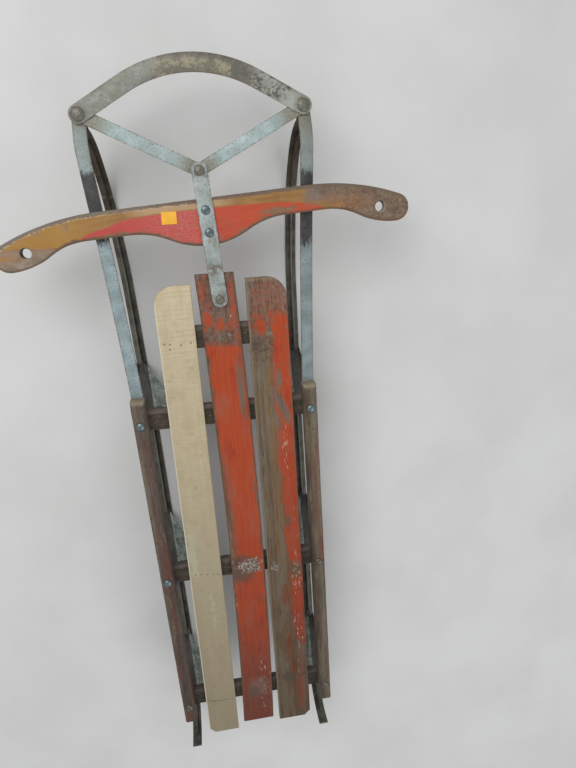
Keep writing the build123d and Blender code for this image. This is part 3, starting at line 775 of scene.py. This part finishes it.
# Runners: rolled T-section steel, its flange on the snow and its web up, bent up into the nose and curled at the
# tail, the web ground away where the flange bends flat under the strap.
runner_paint, mm = new_finish("worn runner paint")
y, z = mm.axes()[1:]
broad = mm.cloud(0.04, 4, 0.6)
fine = mm.cloud(0.35, 5, 0.7)
colour = broad.over(0.35, 0.65).tint(tone(62, 58, 49), tone(92, 90, 80))
nose = y.over(380, 470)
colour = (nose * 0.65).tint(colour, broad.over(0.4, 0.6).tint(tone(58, 49, 37), tone(78, 68, 53)))
colour.wash(fine.over(0.56, 0.66), 0.6, 50, 40, 32)
colour.wash(mm.cloud(0.1, 4, 0.6).over(0.58, 0.7), 0.6, 80, 58, 42)
# Painted highlight: a pale line along the web's top edge, as lit.
colour.wash(z.over(11.6, 12.6) * z.over(14, 13.4) * fine.over(0.3, 0.6), 0.5, 124, 126, 118)
snow_worn = z.over(3.2, 1) * mm.cloud(0.05, 4).over(0.35, 0.5)
colour.wash(snow_worn, 0.8, 120, 116, 108)
lay(runner_paint, colour, 0.6 - snow_worn * 0.2, fine * 0.15, metal=0.3)
tail_y, tail_radius, nose_y, nose_radius = -562.75, 105, 424.5, 150.5
flange_wide, runner_thick, lap_middle = 19, 3, 138.5
web_middle, web_tall = 7.75, 10.5
runner_line = [(-667.75, 140.8), (-498.28, 140.49), (-191.51, 143.04), (126.87, 145.79), (189.87, 148.1),
               (337.5, 151.5), (nose_y, 157), (520.05, 163), (tip_y, 165)]


def bend(y, z, radius, turns):
    """(y, z, pitch) round a bend whose middle is at y, z, one row for each pitch in degrees."""
    return [(y + radius * sin(radians(turn)), z - radius * cos(radians(turn)), turn) for turn in turns]


def side_view(off, tail_turn, nose_turn):
    """(y, z, pitch) along a runner, off mm inside its ground face, from the tail's end to the nose's."""
    tail = bend(tail_y, tail_radius, tail_radius - off, even(-tail_turn, 0, 26))
    nose = bend(nose_y, nose_radius, nose_radius - off, even(0, nose_turn, 26))
    return tail + [(at, off, 0) for at in even(tail_y, nose_y, 48)[1:-1]] + nose


def unite(*parts):
    """Makes the parts one piece under the first one's name."""
    use(parts[0])
    for part in parts[1:]:
        part.select_set(True)
    bpy.ops.object.join()
    return parts[0]


for name, node, side in (("left_runner", "runner_left", -1), ("right_runner", "runner_right", 1)):
    flange = side_view(runner_thick / 2, 104, 82.5) + bend(580.65, 130, -8.5, even(82.5, 0, 6)[1:])
    flange += [(586, lap_middle, 0), (tip_y, lap_middle, 0)]
    rows = []
    for at, up, pitch in flange:
        rows.append((beside(runner_line, side, at), at, up, flange_wide, runner_thick, 0, pitch))
    for turn in (20, 40, 57, 72, 84):
        at = tip_y + flange_wide / 2 * sin(radians(turn))
        x_at = centre(at) + side * runner_line[-1][1]
        rows.append((x_at, at, lap_middle, flange_wide * cos(radians(turn)), runner_thick))
    runner = draw_out(name, rows)
    ease(runner, 0.6, 2, 50)
    web = side_view(web_middle, 88, 68.5)
    rows = []
    for index, (at, up, pitch) in enumerate(web):
        tall = web_tall * (1 - 0.45 * max(0, 4 - index, index + 5 - len(web)) / 4)
        lower = (web_tall - tall) / 2
        rows.append((beside(runner_line, side, at), at + lower * sin(radians(pitch)),
                     up - lower * cos(radians(pitch)), runner_thick, tall, 0, pitch))
    rib = draw_out("web", rows)
    ease(rib, 0.6, 2, 50)
    unite(runner, rib)
    done(runner, runner_paint, None, node)
    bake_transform(runner)

# Knees: stamped sheet-steel gussets, wide under the bench and narrow on the runner, with a vein pressed up for
# stiffness, the outer edge turned forward, a flange bolted under the bench and a tab riveted to the runner's web.
knee_paint, mm = new_finish("speckled knee paint")
x, y, z = mm.axes()
broad = mm.cloud(0.05, 4, 0.6)
fine = mm.cloud(0.45, 5, 0.75)
colour = broad.over(0.35, 0.65).tint(tone(100, 110, 104), tone(138, 148, 143))
colour.wash(fine.over(0.52, 0.6), 0.6, 78, 78, 68)
colour.wash(mm.cloud(0.25, 6, 0.78).over(0.54, 0.6), 0.8, 182, 190, 184)
crease = (x + y * 0.01263 - 1.87).size() - z.trace([(0, 138), (60, 130), (130, 122)])
# Partly the knee's own darker, dirtier paint and partly painted shade: the outer face beyond the crease is darkened
# as if turned from the light.
dark_paint_and_shade = (crease + broad.swing(8)).over(-1, 2)
colour = (dark_paint_and_shade * 0.85).tint(colour, fine.over(0.4, 0.6).tint(tone(76, 68, 62), tone(60, 50, 44)))
# Painted highlight: a pale line along the crease, as lit.
colour.wash(crease.size().over(1.8, 0.4) * broad.over(0.4, 0.5), 0.6, 176, 184, 178)
colour.wash(mm.cloud(0.09, 4, 0.6).over(0.58, 0.7), 0.5, 84, 68, 54)
lay(knee_paint, colour, 0.6, fine * 0.2, metal=0.2)


def turned(name, spot, profile, corners=32):
    """A turned piece on (x, y), through rings of (z, radius), in mm."""
    bpy.ops.object.select_all(action="DESELECT")
    z_at, size = profile[0]
    place = (spot[0] / 1000, spot[1] / 1000, z_at / 1000)
    bpy.ops.mesh.primitive_circle_add(vertices=corners, radius=size / 1000, fill_type="NGON", location=place)
    bpy.ops.object.transform_apply(location=True)
    piece = bpy.context.object
    piece.name = name
    bpy.ops.object.mode_set(mode="EDIT")
    for z_next, next_size in profile[1:]:
        bpy.ops.mesh.extrude_region_move(TRANSFORM_OT_translate={"value": (0, 0, (z_next - z_at) / 1000)})
        middle = (spot[0] / 1000, spot[1] / 1000, z_next / 1000)
        bpy.ops.transform.resize(value=(next_size / size, next_size / size, 1), center_override=middle)
        z_at, size = z_next, next_size
    bpy.ops.mesh.select_all(action="SELECT")
    bpy.ops.mesh.normals_make_consistent(inside=False)
    bpy.ops.object.mode_set(mode="OBJECT")
    return piece


sheet_thick, foot_up, height = 2, 13, 113
vein_root, vein_wide, vein_reach = 0.125, 7, 29
plate_in, plate_middle, plate_wide = 34, 125, 84
tab_in, tab_middle, tab_tall, rivet_off = 2.8, 11.3, 16, 4.2
for word, edge_y, ahead in (("front", 126.87, 49), ("middle", -191.51, 44), ("rear", -498.28, 36)):
    for hand, side in (("left", -1), ("right", 1)):
        back = edge_y - sheet_thick
        foot_y = back + ahead
        foot_x = beside(runner_line, side, foot_y)
        rise = sqrt(height**2 + ahead**2)
        lean = degrees(atan2(ahead, height))
        square = (height / rise, ahead / rise)
        inner_edge = [(0, 7.5), (0.5, 37), (1, 76)]

        def on_sheet(share, lift):
            """(y, z) at a share of the sheet's height, lift mm off its middle."""
            return foot_y - ahead * share + square[0] * lift, foot_up + height * share + square[1] * lift

        rows = []
        for share in even(0, 1, 18):
            inner = follow(inner_edge, share)
            middle = foot_x + side * (8 - inner) / 2
            rows.append((middle, *on_sheet(share, 1), 8 + inner, sheet_thick, 0, 90 + lean))
        knee = draw_out(word + "_" + hand + "_knee", rows, 16)
        bpy.ops.object.mode_set(mode="EDIT")

        def off_vein(vert):
            """How far a point lies from the vein's middle, 1 at the vein's edge."""
            share = (vert.co.z * 1000 - foot_up) / height
            climb = (share - vein_root) / (1 - vein_root)
            middle = foot_x - side * (1 + vein_reach * climb)
            return abs(vert.co.x * 1000 - middle) / max(2.5, 2 + vein_wide * climb) if share > 0.1 else 9

        for low, high, lift in ((0, 0.4, 2.6), (0.4, 0.85, 1.5)):
            pick("VERT", lambda vert: low <= off_vein(vert) < high)
            bpy.ops.transform.translate(value=(0, square[0] * lift / 1000, square[1] * lift / 1000))
        bpy.ops.object.mode_set(mode="OBJECT")
        fold_x = foot_x + side * 7
        rows = [(fold_x, *on_sheet(share, 4), sheet_thick, 8, 0, 90 + lean) for share in even(0, 1, 6)]
        fold = draw_out("fold", rows)
        ease(fold, 0.8, 3)
        plate_x = foot_x - side * plate_in
        rows = [(plate_x, at, plate_middle, plate_wide, sheet_thick) for at in even(back - 30, back + 2, 4)]
        plate = draw_out("plate", rows)
        ease(plate, 0.5, 2)
        veer = degrees(atan2(beside(runner_line, side, foot_y - 16) - foot_x, 16))
        tab_x = foot_x - side * tab_in
        rows = []
        for off in even(-8, 8, 4):
            rows.append((tab_x - off * sin(radians(veer)), foot_y + off, tab_middle, sheet_thick, tab_tall, veer))
        tab = draw_out("tab", rows)
        ease(tab, 0.5, 2)
        rivets = []
        for ahead_by in (-rivet_off, rivet_off):
            head = turned("tab_rivet", (0, 0), [(-1.2, 2.6), (0.6, 2.5), (1.2, 1.9), (1.6, 0.9)], 20)
            head.rotation_euler = (0, radians(-90 * side), 0)
            head.location = ((tab_x - side * 1) / 1000, (foot_y + ahead_by) / 1000, 0.0088)
            bpy.ops.object.transform_apply(location=True, rotation=True)
            rivets.append(head)
        knee = unite(knee, fold, plate, tab, *rivets)
        done(knee, knee_paint, "frame", "knee_" + word + "_" + hand)

# Rail bolts: domed steel bolts down through rail, strap, bench and knee, with square nuts below. The front pair
# and the left middle one were renewed, the rest are rusty.
bolt_steel, mm = new_finish("bolt steel")
x, y, z = mm.axes()
fine = mm.cloud(0.6, 5, 0.7)
fresh = (y.over(40, 100) * y.over(480, 460)).most(y.over(-260, -250) * y.over(-160, -170) * x.over(0, -20))
colour = fine.over(0.4, 0.62).tint(tone(76, 87, 89), tone(116, 129, 132))
rust_and_glints = fine.over(0.42, 0.6).tint(tone(74, 64, 52), tone(104, 100, 86))
# Painted glints: pale green-white specks over the rusty steel stand for reflected light.
rust_and_glints.wash(fine.over(0.62, 0.66), 0.8, 150, 166, 158)
colour = fresh.tint(rust_and_glints, colour)
foot = (z.over(163.4, 164) * z.over(166.4, 165.4)).most(z.over(160, 160.6) * z.over(162, 161.4))
colour.wash(foot, 0.75, 52, 46, 40)
lay(bolt_steel, colour, 0.3, fine * 0.1, metal=0.6)
head = turned("head", (0, 0), [(118, 2.7), (118.5, 3), (164, 3), (164, 7.4), (164.9, 8), (165.6, 7.7),
                               (166.9, 6.4), (167.9, 4.3), (168.4, 2), (168.5, 0.6)])
nut = turned("nut", (0, 0), [(119.5, 6.1), (119.9, 6.9), (123.6, 6.9), (124, 6.2)], 4)
nut.rotation_euler = (0, 0, radians(38))
bpy.ops.object.transform_apply(rotation=True)
ease(nut, 0.5, 2)
crests = []
for low in even(118.4, 119.3, 2):
    crests.append(turned("thread", (0, 0), [(low, 2.7), (low + 0.2, 3.15), (low + 0.4, 2.7)], 24))


def set_out(first, names, spots):
    """Copies a piece drawn on the z axis, each with its own mesh, and sets one at each (x, y) spot in mm."""
    pieces = [first] + [first.copy() for name in names[1:]]
    for piece in pieces[1:]:
        piece.data = first.data.copy()
        bpy.context.scene.collection.objects.link(piece)
    for piece, name, (x_at, y_at) in zip(pieces, names, spots):
        piece.name = name
        piece.location = (x_at / 1000, y_at / 1000, 0)
        use(piece)
        bpy.ops.object.transform_apply(location=True)
    return pieces


spots = [(rail_line(side, at), at) for at in (107.87, -210.51, -517.28) for side in (-1, 1)]
for bolt in set_out(unite(head, nut, *crests), ["rail_bolt_" + str(count) for count in range(1, 7)], spots):
    done(bolt, bolt_steel, "frame", "rail_bolts")

# Steering bar: a hardwood board sawn to a bow with a paddle at each end and a rope hole in each paddle, its upper
# edges rounded. Ochre paint with a red sweep in the middle, worn off the paddles.
pivot_x, pivot_y, steer = 7.2276, 309.765, 3.7
bar_middle, bar_thick, front_reach, neck_reach = 150.7, 14.6, 158.5, 118.5
bow_start, bow_radius, bow_end = 162, 376, 310.73
paddle_x, paddle_y, paddle_radius = 302.22, 108.09, 21.5
rope_x, rope_y, rope_radius = 276, 112, 7.5


def front_edge(x_at):
    """Straight over the middle, an arc down each arm and round each paddle."""
    run = abs(x_at)
    if run < bow_start:
        return front_reach
    if run < bow_end:
        return front_reach - bow_radius + sqrt(bow_radius**2 - (run - bow_start) ** 2)
    return paddle_y + sqrt(max(0, paddle_radius**2 - (run - paddle_x) ** 2))


def rear_edge(x_at):
    """Straight at the necks, two arcs down from each neck to the paddle and to the middle."""
    run = abs(x_at)
    if run > paddle_x:
        return paddle_y - sqrt(max(0, paddle_radius**2 - (run - paddle_x) ** 2))
    neck_inner, neck_outer = 122, 186
    if neck_inner <= run <= neck_outer:
        return neck_reach
    start, low, length = (0, 87.5, neck_inner)
    if run > neck_outer:
        start, low, length = (paddle_x, paddle_y - paddle_radius, paddle_x - neck_outer)
    high = neck_reach
    size = abs(run - start)
    turn = 2 * atan2(high - low, length)
    radius = length / (2 * sin(turn))
    if size < length / 2:
        return low + radius - sqrt(radius**2 - size**2)
    return high - radius + sqrt(radius**2 - (length - size) ** 2)


ends = [paddle_x + paddle_radius * sin(radians(turn)) for turn in (80, 70, 60, 49, 37, 24)]
rows = []
for at in [-end for end in ends] + even(-305, 305, 110) + ends[::-1]:
    front, rear = front_edge(at), rear_edge(at)
    rows.append((at, (front + rear) / 2, bar_middle, front - rear, bar_thick, -90))
bar = draw_out("steering_bar", rows)
ease(bar, 3.4, 4, 50)
rim_radius = 9.4
for side in (-1, 1):
    cutter = turned("cutter", (side * rope_x, rope_y), [
        (130, rim_radius), (142.6, rim_radius), (144, 8), (145.6, rope_radius),
        (156, rope_radius), (157.4, 8), (158.8, rim_radius), (170, rim_radius)], 40)
    use(bar)
    bpy.ops.object.modifier_add(type="BOOLEAN")
    bar.modifiers[-1].object = cutter
    bar.modifiers[-1].operation = "DIFFERENCE"
    bpy.ops.object.modifier_apply(modifier=bar.modifiers[-1].name)
    bpy.data.objects.remove(cutter)


def on_tiller(piece):
    """Turns a piece drawn in the steering's own frame to the way the steering stands."""
    use(piece)
    piece.rotation_euler = (0, 0, radians(steer))
    piece.location = (pivot_x / 1000, pivot_y / 1000, 0)
    bpy.ops.object.transform_apply(location=True, rotation=True)


def steering_frame(mm):
    """Coordinates that turn with the steering, its pivot at 0."""
    shifted = mm.node("VectorMath", {0: mm, 1: (pivot_x, pivot_y, 0)}, operation="SUBTRACT")
    return mm.node("VectorRotate", {"Vector": shifted, "Axis": (0, 0, 1), "Angle": -radians(steer)})


on_tiller(bar)
bar_paint, mm = new_finish("worn bar paint")
own = steering_frame(mm)
x, y = own.axes()[:2]
bare, fibre = timber(own, 0, tone(108, 88, 70), tone(120, 102, 86), 0.5)[:2]
mottle = own.cloud(0.06, 6, 0.72, aside=0.6)
bare.wash(mottle.over(0.5, 0.6), 0.7, 130, 108, 82)
bare.wash(mottle.over(0.48, 0.38), 0.7, 96, 76, 64)
bare.wash(own.cloud(0.3, 6, 0.76, aside=0.5).over(0.56, 0.62), 0.5, 78, 62, 52)
speck = own.cloud(0.2, 6, 0.78)
bare.wash(speck.over(0.53, 0.6), 0.65, 70, 56, 48)
bare.wash(speck.over(0.44, 0.39), 0.4, 150, 130, 108)
silvered = mottle.over(0.4, 0.6).tint(tone(122, 112, 98), tone(146, 138, 124))
bare = (x.over(-220, -250) * 0.75).tint(bare, silvered)
greyed = oval(x, y, (172, 140), (30, 22)).over(-4, 10) * mottle.over(0.4, 0.5)
bare.wash(greyed, 0.6, 122, 106, 98)
ragged = own.cloud(0.14, 6, 0.7, aside=0.4)
chips = own.cloud(0.5, 5, 0.7, aside=0.6)
rear_line = [(at, rear_edge(at)) for at in even(-318, 318, 36)]
front_line = [(at, front_edge(at)) for at in even(-318, 318, 24)]
inside = (x.trace(front_line) - y - 4.2).least(y - x.trace(rear_line) - 4.6)
hollow = x.trace([(-330, 118), (-311, 121), (-270, 118), (-243, 116), (-232, 114), (-224, 104), (-212, 88),
                  (0, 80), (330, 80)])
paint = inside.least(y - hollow, 158 - x, 0 - oval(x, y, (110, 126.5), (24, 5)),
                     1 - oval(x, y, (66, 104), (20, 5)))
paint = paint.most(oval(x, y, (170, 123), (43, 7.5)), oval(x, y, (-312, 108), (16, 4)) - 1)
cover = (paint + ragged.swing(18) * (1 + x.over(130, 160)) + chips.swing(12)).over(-1.4, 1.8)
thin = (paint + ragged.swing(20)).over(-16, 2) * inside.over(-2, 2)
bare.wash(thin, 0.5, 140, 92, 58)
streaks = own.cloud(0.22, 4, aside=0.08)
faded = own.cloud(0.03, 5, 0.62)
coat = streaks.over(0.3, 0.7).tint(tone(132, 95, 50), tone(146, 108, 62))
coat.wash(faded.over(0.48, 0.66), 0.6, 156, 120, 76)
coat.wash(faded.over(0.45, 0.32), 0.5, 130, 84, 44)
coat.wash(x.over(-130, -240), 0.6, 158, 118, 50)
sweep = x.trace([(-195, 118), (-188.5, 125.4), (-150.7, 134.2), (-108.8, 142.6), (-68, 143.4), (14, 143),
                 (97, 139.8), (139, 135.4), (177, 126.7), (187, 118)])
pale_band = (y - sweep).over(0, 3) * x.over(-130, -80) * x.over(60, 10)
coat.wash(pale_band, 0.6, 176, 150, 116)
red_zone = (sweep - y + chips.swing(3)).least(x + 194, 186 - x).over(-1, 1)
red = streaks.over(0.3, 0.7).tint(tone(168, 65, 43), tone(176, 73, 50))
red.wash(x.over(20, -40), 0.75, 172, 66, 64)
red.wash(x.over(30, 110), 0.5, 168, 74, 34)
red.wash(faded.over(0.5, 0.66), 0.5, 150, 78, 60)
coat = red_zone.tint(coat, red)
bloom = own.cloud(0.55, 6, 0.8).over(0.46, 0.62) * x.over(-150, -50) * x.over(20, -10)
coat = (bloom * 0.42 * (red_zone * 0.7 + 0.3)).tint(coat, tone(204, 150, 142))
coat.wash(chips.over(0.62, 0.68), 0.6, 112, 76, 52)
colour = cover.tint(bare, coat)
mark = dot(x, y, (-212, 144), 5, 4).most(dot(x, y, (-256, 140), 5, 4), dot(x, y, (15, 98), 5, 4),
                                         dot(x, y, (170, 146), 18, 12))
colour.wash(mark * own.cloud(0.35, 3).over(0.42, 0.56), 0.7, 116, 106, 94)
off = x - x.over(-1, 1) * (2 * rope_x) + rope_x
bore = dot(off, y, (0, rope_y), 9.2, 0.7)
# Painted light and shade: each rope hole's wall is dark on the upper left, as in shadow, and pale on the lower
# right, as lit.
bore_light_and_shade = (off - y + rope_y).over(-6, 7).tint(tone(52, 42, 36), tone(148, 136, 122))
colour = (bore * 0.75).tint(colour, bore_light_and_shade)
scratch = y - x.trace([(-262, 138), (-255, 139.7), (-242, 145.5), (-229, 149.7), (-207, 149)])
scrape = scratch.size().over(1.5, 0.4) * x.over(-262, -250) * x.over(-206, -208)
scrape = scrape.most((x + 209).size().over(1.6, 0.5) * y.over(133, 135) * y.over(150, 149))
colour.wash(scrape * chips.over(0.4, 0.5), 0.75, 112, 96, 84)
# Painted shade: a dark band along the rounded rear edge, as in shadow.
rear_rim_shade = (y - x.trace(rear_line) + ragged.swing(3)).over(5, 2.5)
colour.wash(rear_rim_shade, 0.7, 92, 66, 46)
crest = x.trace(front_line) - y + ragged.swing(6)
crest_wood = x.over(-120, -20).tint(tone(110, 102, 90), tone(98, 84, 72))
colour = (crest.over(6.4, 3.6) * 0.8).tint(colour, crest_wood)
fleck = (crest - 6).size().over(2, 0.5) * chips.over(0.5, 0.58) * x.over(30, -40)
colour.wash(fleck, 0.7, 184, 172, 156)
relief = fibre * (0.25 - cover * 0.15) + mottle * 0.3 + cover * 0.2
lay(bar_paint, colour, cover * -0.14 + 0.72, relief, shine=0.3)
wear_down(bar, 30, 0.5)
done(bar, bar_paint, "steering", "steering_bar")

# Price sticker: a small piece of orange paper, blank, stuck a little crooked on the bar's top to the left of the
# tiller.
orange, mm = new_finish("orange sticker")
lay(orange, mm.cloud(0.08, 3).over(0.4, 0.7).tint(tone(222, 160, 34), tone(230, 172, 46)), 0.55)
sticker_long, sticker_wide, sticker_thick, off_square = 22.8, 18.4, 0.3, -4.5
sticker = draw_out("price_sticker", [(at, 0, 158.1, sticker_wide, sticker_thick, -90)
                                     for at in even(-sticker_long / 2, sticker_long / 2, 6)])
sticker.rotation_euler = (0, 0, radians(off_square))
sticker.location = (-0.0572, 0.1363, 0)
use(sticker)
bpy.ops.object.transform_apply(location=True, rotation=True)
on_tiller(sticker)
done(sticker, orange, "steering")

# Tiller strap: flat steel bar from the pivot to the braces' apex, joggled up over the bar and bolted through it.
# Its silver paint is stained with rust round the holes and along the edges.
tiller_paint, mm, coat, _, fine = coated("tiller_paint", tone(142, 152, 150), tone(164, 174, 172))
own = steering_frame(mm)
x, y = own.axes()[:2]
worn = own.cloud(0.12, 5, 0.7, along=0.3)
colour = (worn.over(0.52, 0.64) * 0.6).tint(coat, tan(fine))
stain = dot(x, y, (0, 50), 12, 12).most(dot(x, y, (2, 0), 15, 8) * 0.8, dot(x, y, (0, 199), 15, 10) * 0.8,
                                        dot(x, y, (4, 22), 9, 8) * 0.5)
stain = stain * own.cloud(0.16, 5, 0.7).over(0.4, 0.58)
colour = (stain * 0.8).tint(colour, rust(fine))
edge = (x.size() - 11.2 + fine.swing(14)).over(0, 1.6)
colour = (edge * 0.65).tint(colour, rust(fine))
lay(tiller_paint, colour, 0.55, fine * 0.12 + worn * 0.1, metal=0.2)
tiller_long, tiller_wide, tiller_thick = 199, 25, 3
rear_low, front_low = 150.2, 149.2
joggle = [(0, rear_low), (38, rear_low), (76, 158), (160, 158), (176, front_low),
          (tiller_long, front_low)]


def eased(at):
    """Underside and pitch of the tiller strap, its corners eased over 10 mm."""
    values = []
    for spot in even(at - 5, at + 5, 10):
        spot = min(max(spot, 0), tiller_long - 0.001)
        for (start, low), (end, high) in zip(joggle, joggle[1:]):
            if start <= spot < end:
                values.append(low + (high - low) * (spot - start) / (end - start))
    return sum(values) / len(values), degrees(atan2(values[-1] - values[0], 10))


ends = [(tiller_wide / 2 * sin(radians(turn)), tiller_wide * cos(radians(turn))) for turn in round_turns]
rows = [(0, -out, rear_low + 1.5, wide, tiller_thick) for out, wide in ends[::-1]]
for at in [0, 15, 28] + even(33, 81, 24) + [95, 110, 125, 140, 152] + even(155, 181, 20) + [190, tiller_long]:
    low, pitch = eased(at)
    rows.append((0, at, low + tiller_thick / 2, tiller_wide, tiller_thick, 0, pitch))
rows += [(0, tiller_long + out, front_low + 1.5, wide, tiller_thick) for out, wide in ends]
tiller = draw_out("tiller_strap", rows)
ease(tiller, 0.6, 2, 50)
on_tiller(tiller)
done(tiller, tiller_paint, "steering", "tiller_strap")

# Bar bolts: two domed steel bolts that hold the tiller strap down on the bar, each with a hexagon nut drawn up
# under the bar.
head = turned("head", (0, 0), [(138.9, 2.7), (139.3, 3), (160.6, 3), (160.6, 6.8), (161.5, 7), (162.4, 6.3),
                               (163.1, 4.6), (163.5, 2.6), (163.6, 0.8)])
nut = turned("nut", (0, 0), [(138.9, 5.3), (139.4, 5.8), (142.9, 5.8), (143.3, 5.4)], 6)
ease(nut, 0.4, 2)
for bolt in set_out(unite(head, nut), ["bar_bolt_1", "bar_bolt_2"], [(0, 107), (0, 141)]):
    on_tiller(bolt)
    done(bolt, bolt_steel, "steering", "bar_bolts")

# Bumper: one flat bar bent edgewise, its arms riveted over the straps. Silver paint, rubbed to tan and dark steel
# over the crown.
crown_y, crown_radius, bumper_middle, bumper_wide, bumper_thick = 452.75, 202, 147.5, 26, 3
left_tip, right_tip, arm_y = -170.61, 159.39, 630.27
bumper_paint, mm, coat, broad, fine = coated("bumper_paint", tone(120, 123, 114), tone(142, 147, 140))
x, y = mm.axes()[:2]
ragged = mm.cloud(0.1, 6, 0.74)
spread = ((x - apex_x) * (x - apex_x) + (y - crown_y) * (y - crown_y)).root()
crown = (x + 58 - (y - 652) * 0.5).least(84 - x + (640 - y) * 0.3)
rubbed = (crown + ragged.swing(70)).over(-6, 10)
grime = mm.cloud(0.07, 6, 0.74).over(0.42, 0.6)
worn = mm.cloud(0.06, 6, 0.7).over(0.42, 0.58).tint(tone(102, 97, 82), tone(142, 134, 108))
worn.wash(mm.cloud(0.2, 6, 0.78).over(0.53, 0.58), 0.75, 86, 82, 74)
dark = (spread - 209 + ragged.swing(22)).most(oval(x, y, (72, 640), (18, 24)) + ragged.swing(40))
dark = dark.over(-3, 5)
worn.wash(dark, 0.75, 80, 77, 72)
cleaner = broad.over(0.35, 0.65).tint(tone(144, 146, 138), tone(166, 168, 160))
coat = (x.over(80, 120) * 0.6).tint(coat, cleaner)
colour = (grime * 0.6 * x.over(140, 90)).tint(coat, tone(118, 116, 100))
colour = (rubbed * 0.92).tint(colour, worn)
specks = oval(x, y, (108, 620), (40, 24)).over(-6, 8) * mm.cloud(0.11, 6, 0.76).over(0.53, 0.56)
specks = specks.most(mm.cloud(0.3, 6, 0.78).over(0.57, 0.61) * 0.7)
colour.wash(specks, 0.85, 70, 64, 56)
spot = dot(x, y, (-108, 630), 5, 3) * fine.over(0.4, 0.6)
colour.wash(spot, 0.6, 96, 98, 92)
rims = dot(x, y, (left_tip, tip_y), 15, 4).most(dot(x, y, (right_tip, tip_y), 15, 4)) * fine.over(0.35, 0.55)
colour.wash(rims, 0.7, 106, 102, 88)
edge = ((spread - crown_radius).size() - 11.6 + fine.swing(14)).over(0, 1.8) * y.over(600, 625)
colour = (edge * 0.55).tint(colour, rust(fine))
lay(bumper_paint, colour, 0.55 - rubbed * 0.06, fine * 0.14 - rubbed * 0.1, metal=0.25)
crown = [(apex_x + crown_radius * cos(radians(turn)), crown_y + crown_radius * sin(radians(turn)))
         for turn in even(118.5, 61.5, 36)]
left_arm = list(zip(even(left_tip, -102, 8), even(tip_y, arm_y, 8)))[:-1]
right_arm = list(zip(even(90.77, right_tip, 8), even(arm_y, tip_y, 8)))[1:]
path = [(*spot, bumper_middle) for spot in left_arm + crown + right_arm]
bumper = strip("bumper", path, bumper_wide, bumper_thick)
ease(bumper, 0.6, 2, 50)
done(bumper, bumper_paint, "bumper", "bumper")

# Braces: flat steel bars, riveted between the bumper's ends and the straps, that meet under the tiller at the apex
# rivet. The right one is joggled over the left. Silver paint, worn to tan at both ends.
apex_y, brace_middle, brace_wide, brace_thick = 508.35, 144.5, 19.5, 3
for name, node, tip_x, step in (("left_brace", "brace_left", left_tip, 0),
                                ("right_brace", "brace_right", right_tip, 3)):
    finish, mm, coat, broad, fine = coated(name + "_paint", tone(142, 157, 155), tone(168, 185, 184))
    x, y = mm.axes()[:2]
    tips = dot(x, y, (tip_x, tip_y), 40, 16).most(dot(x, y, (apex_x, apex_y), 30, 14))
    ends_worn = (tips * broad.over(0.25, 0.45)).most(mm.cloud(0.12, 5, 0.7).over(0.66, 0.72) * 0.7)
    colour = (ends_worn * 0.85).tint(coat, tan(fine))
    slope = atan2(apex_y - tip_y, apex_x - tip_x)
    across = (x - tip_x) * -sin(slope) + (y - tip_y) * cos(slope)
    edge = (across.size() - 8.6 + fine.swing(16)).over(0, 1.6)
    colour = (edge * 0.75).tint(colour, rust(fine))
    lay(finish, colour, 0.55, fine * 0.14, metal=0.2)
    run = sqrt((apex_x - tip_x) ** 2 + (apex_y - tip_y) ** 2)
    path = []
    for at in even(0, run - 52, 14) + even(run - 48, run - 34, 4) + [run - 20, run]:
        lift = step * min(1, max(0, (at - run + 48) / 14))
        path.append((tip_x + (apex_x - tip_x) * at / run, tip_y + (apex_y - tip_y) * at / run, brace_middle + lift))
    brace = strip(name, path, brace_wide, brace_thick)
    ease(brace, 0.5, 2, 50)
    done(brace, finish, "bumper", node)

# Rivets: one through each bumper end, brace and strap, one at the apex and one that pivots the tiller on the deck,
# each with a domed steel head above and a smaller closed tail below.
rivet_steel, mm = new_finish("rivet steel")
fine = mm.cloud(0.6, 5, 0.7)
colour = fine.over(0.38, 0.64).tint(tone(84, 78, 66), tone(122, 122, 110))
lay(rivet_steel, colour, 0.45, fine * 0.15, metal=0.4)


def new_rivet(seat, radius, height, foot):
    """A rivet on the z axis, its head over seat and its tail under foot."""
    dome = ((0.25, 1), (0.55, 0.88), (0.82, 0.62), (0.97, 0.3), (1, 0.08))
    profile = [(seat - 1, 3.4), (seat - 0.4, radius * 0.98)]
    head = turned("head", (0, 0), profile + [(seat + height * up, radius * out) for up, out in dome])
    profile = ((-2.5, 2), (-2.2, 4.4), (-1.2, 6), (0, 6.5), (0.6, 3.4), (1, 3.4))
    return unite(head, turned("tail", (0, 0), [(foot + up, out) for up, out in profile]))


for sizes, names, spots, body, node in (
        ((149, 10, 4, 137), ["left_tip_rivet", "right_tip_rivet"],
         [(left_tip, tip_y), (right_tip, tip_y)], "bumper", "tip_rivets"),
        ((152.4, 8, 3.4, 143), ["apex_rivet"], [(apex_x, apex_y)], "bumper", "apex_rivet"),
        ((153.4, 7.5, 3.2, 140), ["pivot_rivet"], [(pivot_x, pivot_y)], "frame", "pivot_rivet")):
    for rivet in set_out(new_rivet(*sizes), names, spots):
        done(rivet, rivet_steel, body, node)

# Nails: ten small wire nails that fix the new left slat, five over the cleat and five over the middle bench, their
# flat heads just proud of the wood.
nail_steel, mm = new_finish("nail steel")
lay(nail_steel, mm.cloud(0.9, 3).over(0.4, 0.6).tint(tone(92, 80, 64), tone(124, 116, 100)), 0.5, metal=0.4)
spots = [(-90.5, 243), (-81.1, 242), (-63.9, 239.6), (-47.4, 241.5), (-82.2, 233.5),
         (-88, -211), (-77, -212.5), (-66, -214), (-55, -215.5), (-45.5, -217)]
first = turned("nail", (0, 0), [(148.5, 1.1), (149.8, 1.5), (150.15, 1.4), (150.25, 0.9)], 14)
for nail in set_out(first, ["nail_" + str(count) for count in range(1, 11)], spots):
    done(nail, nail_steel, "frame")
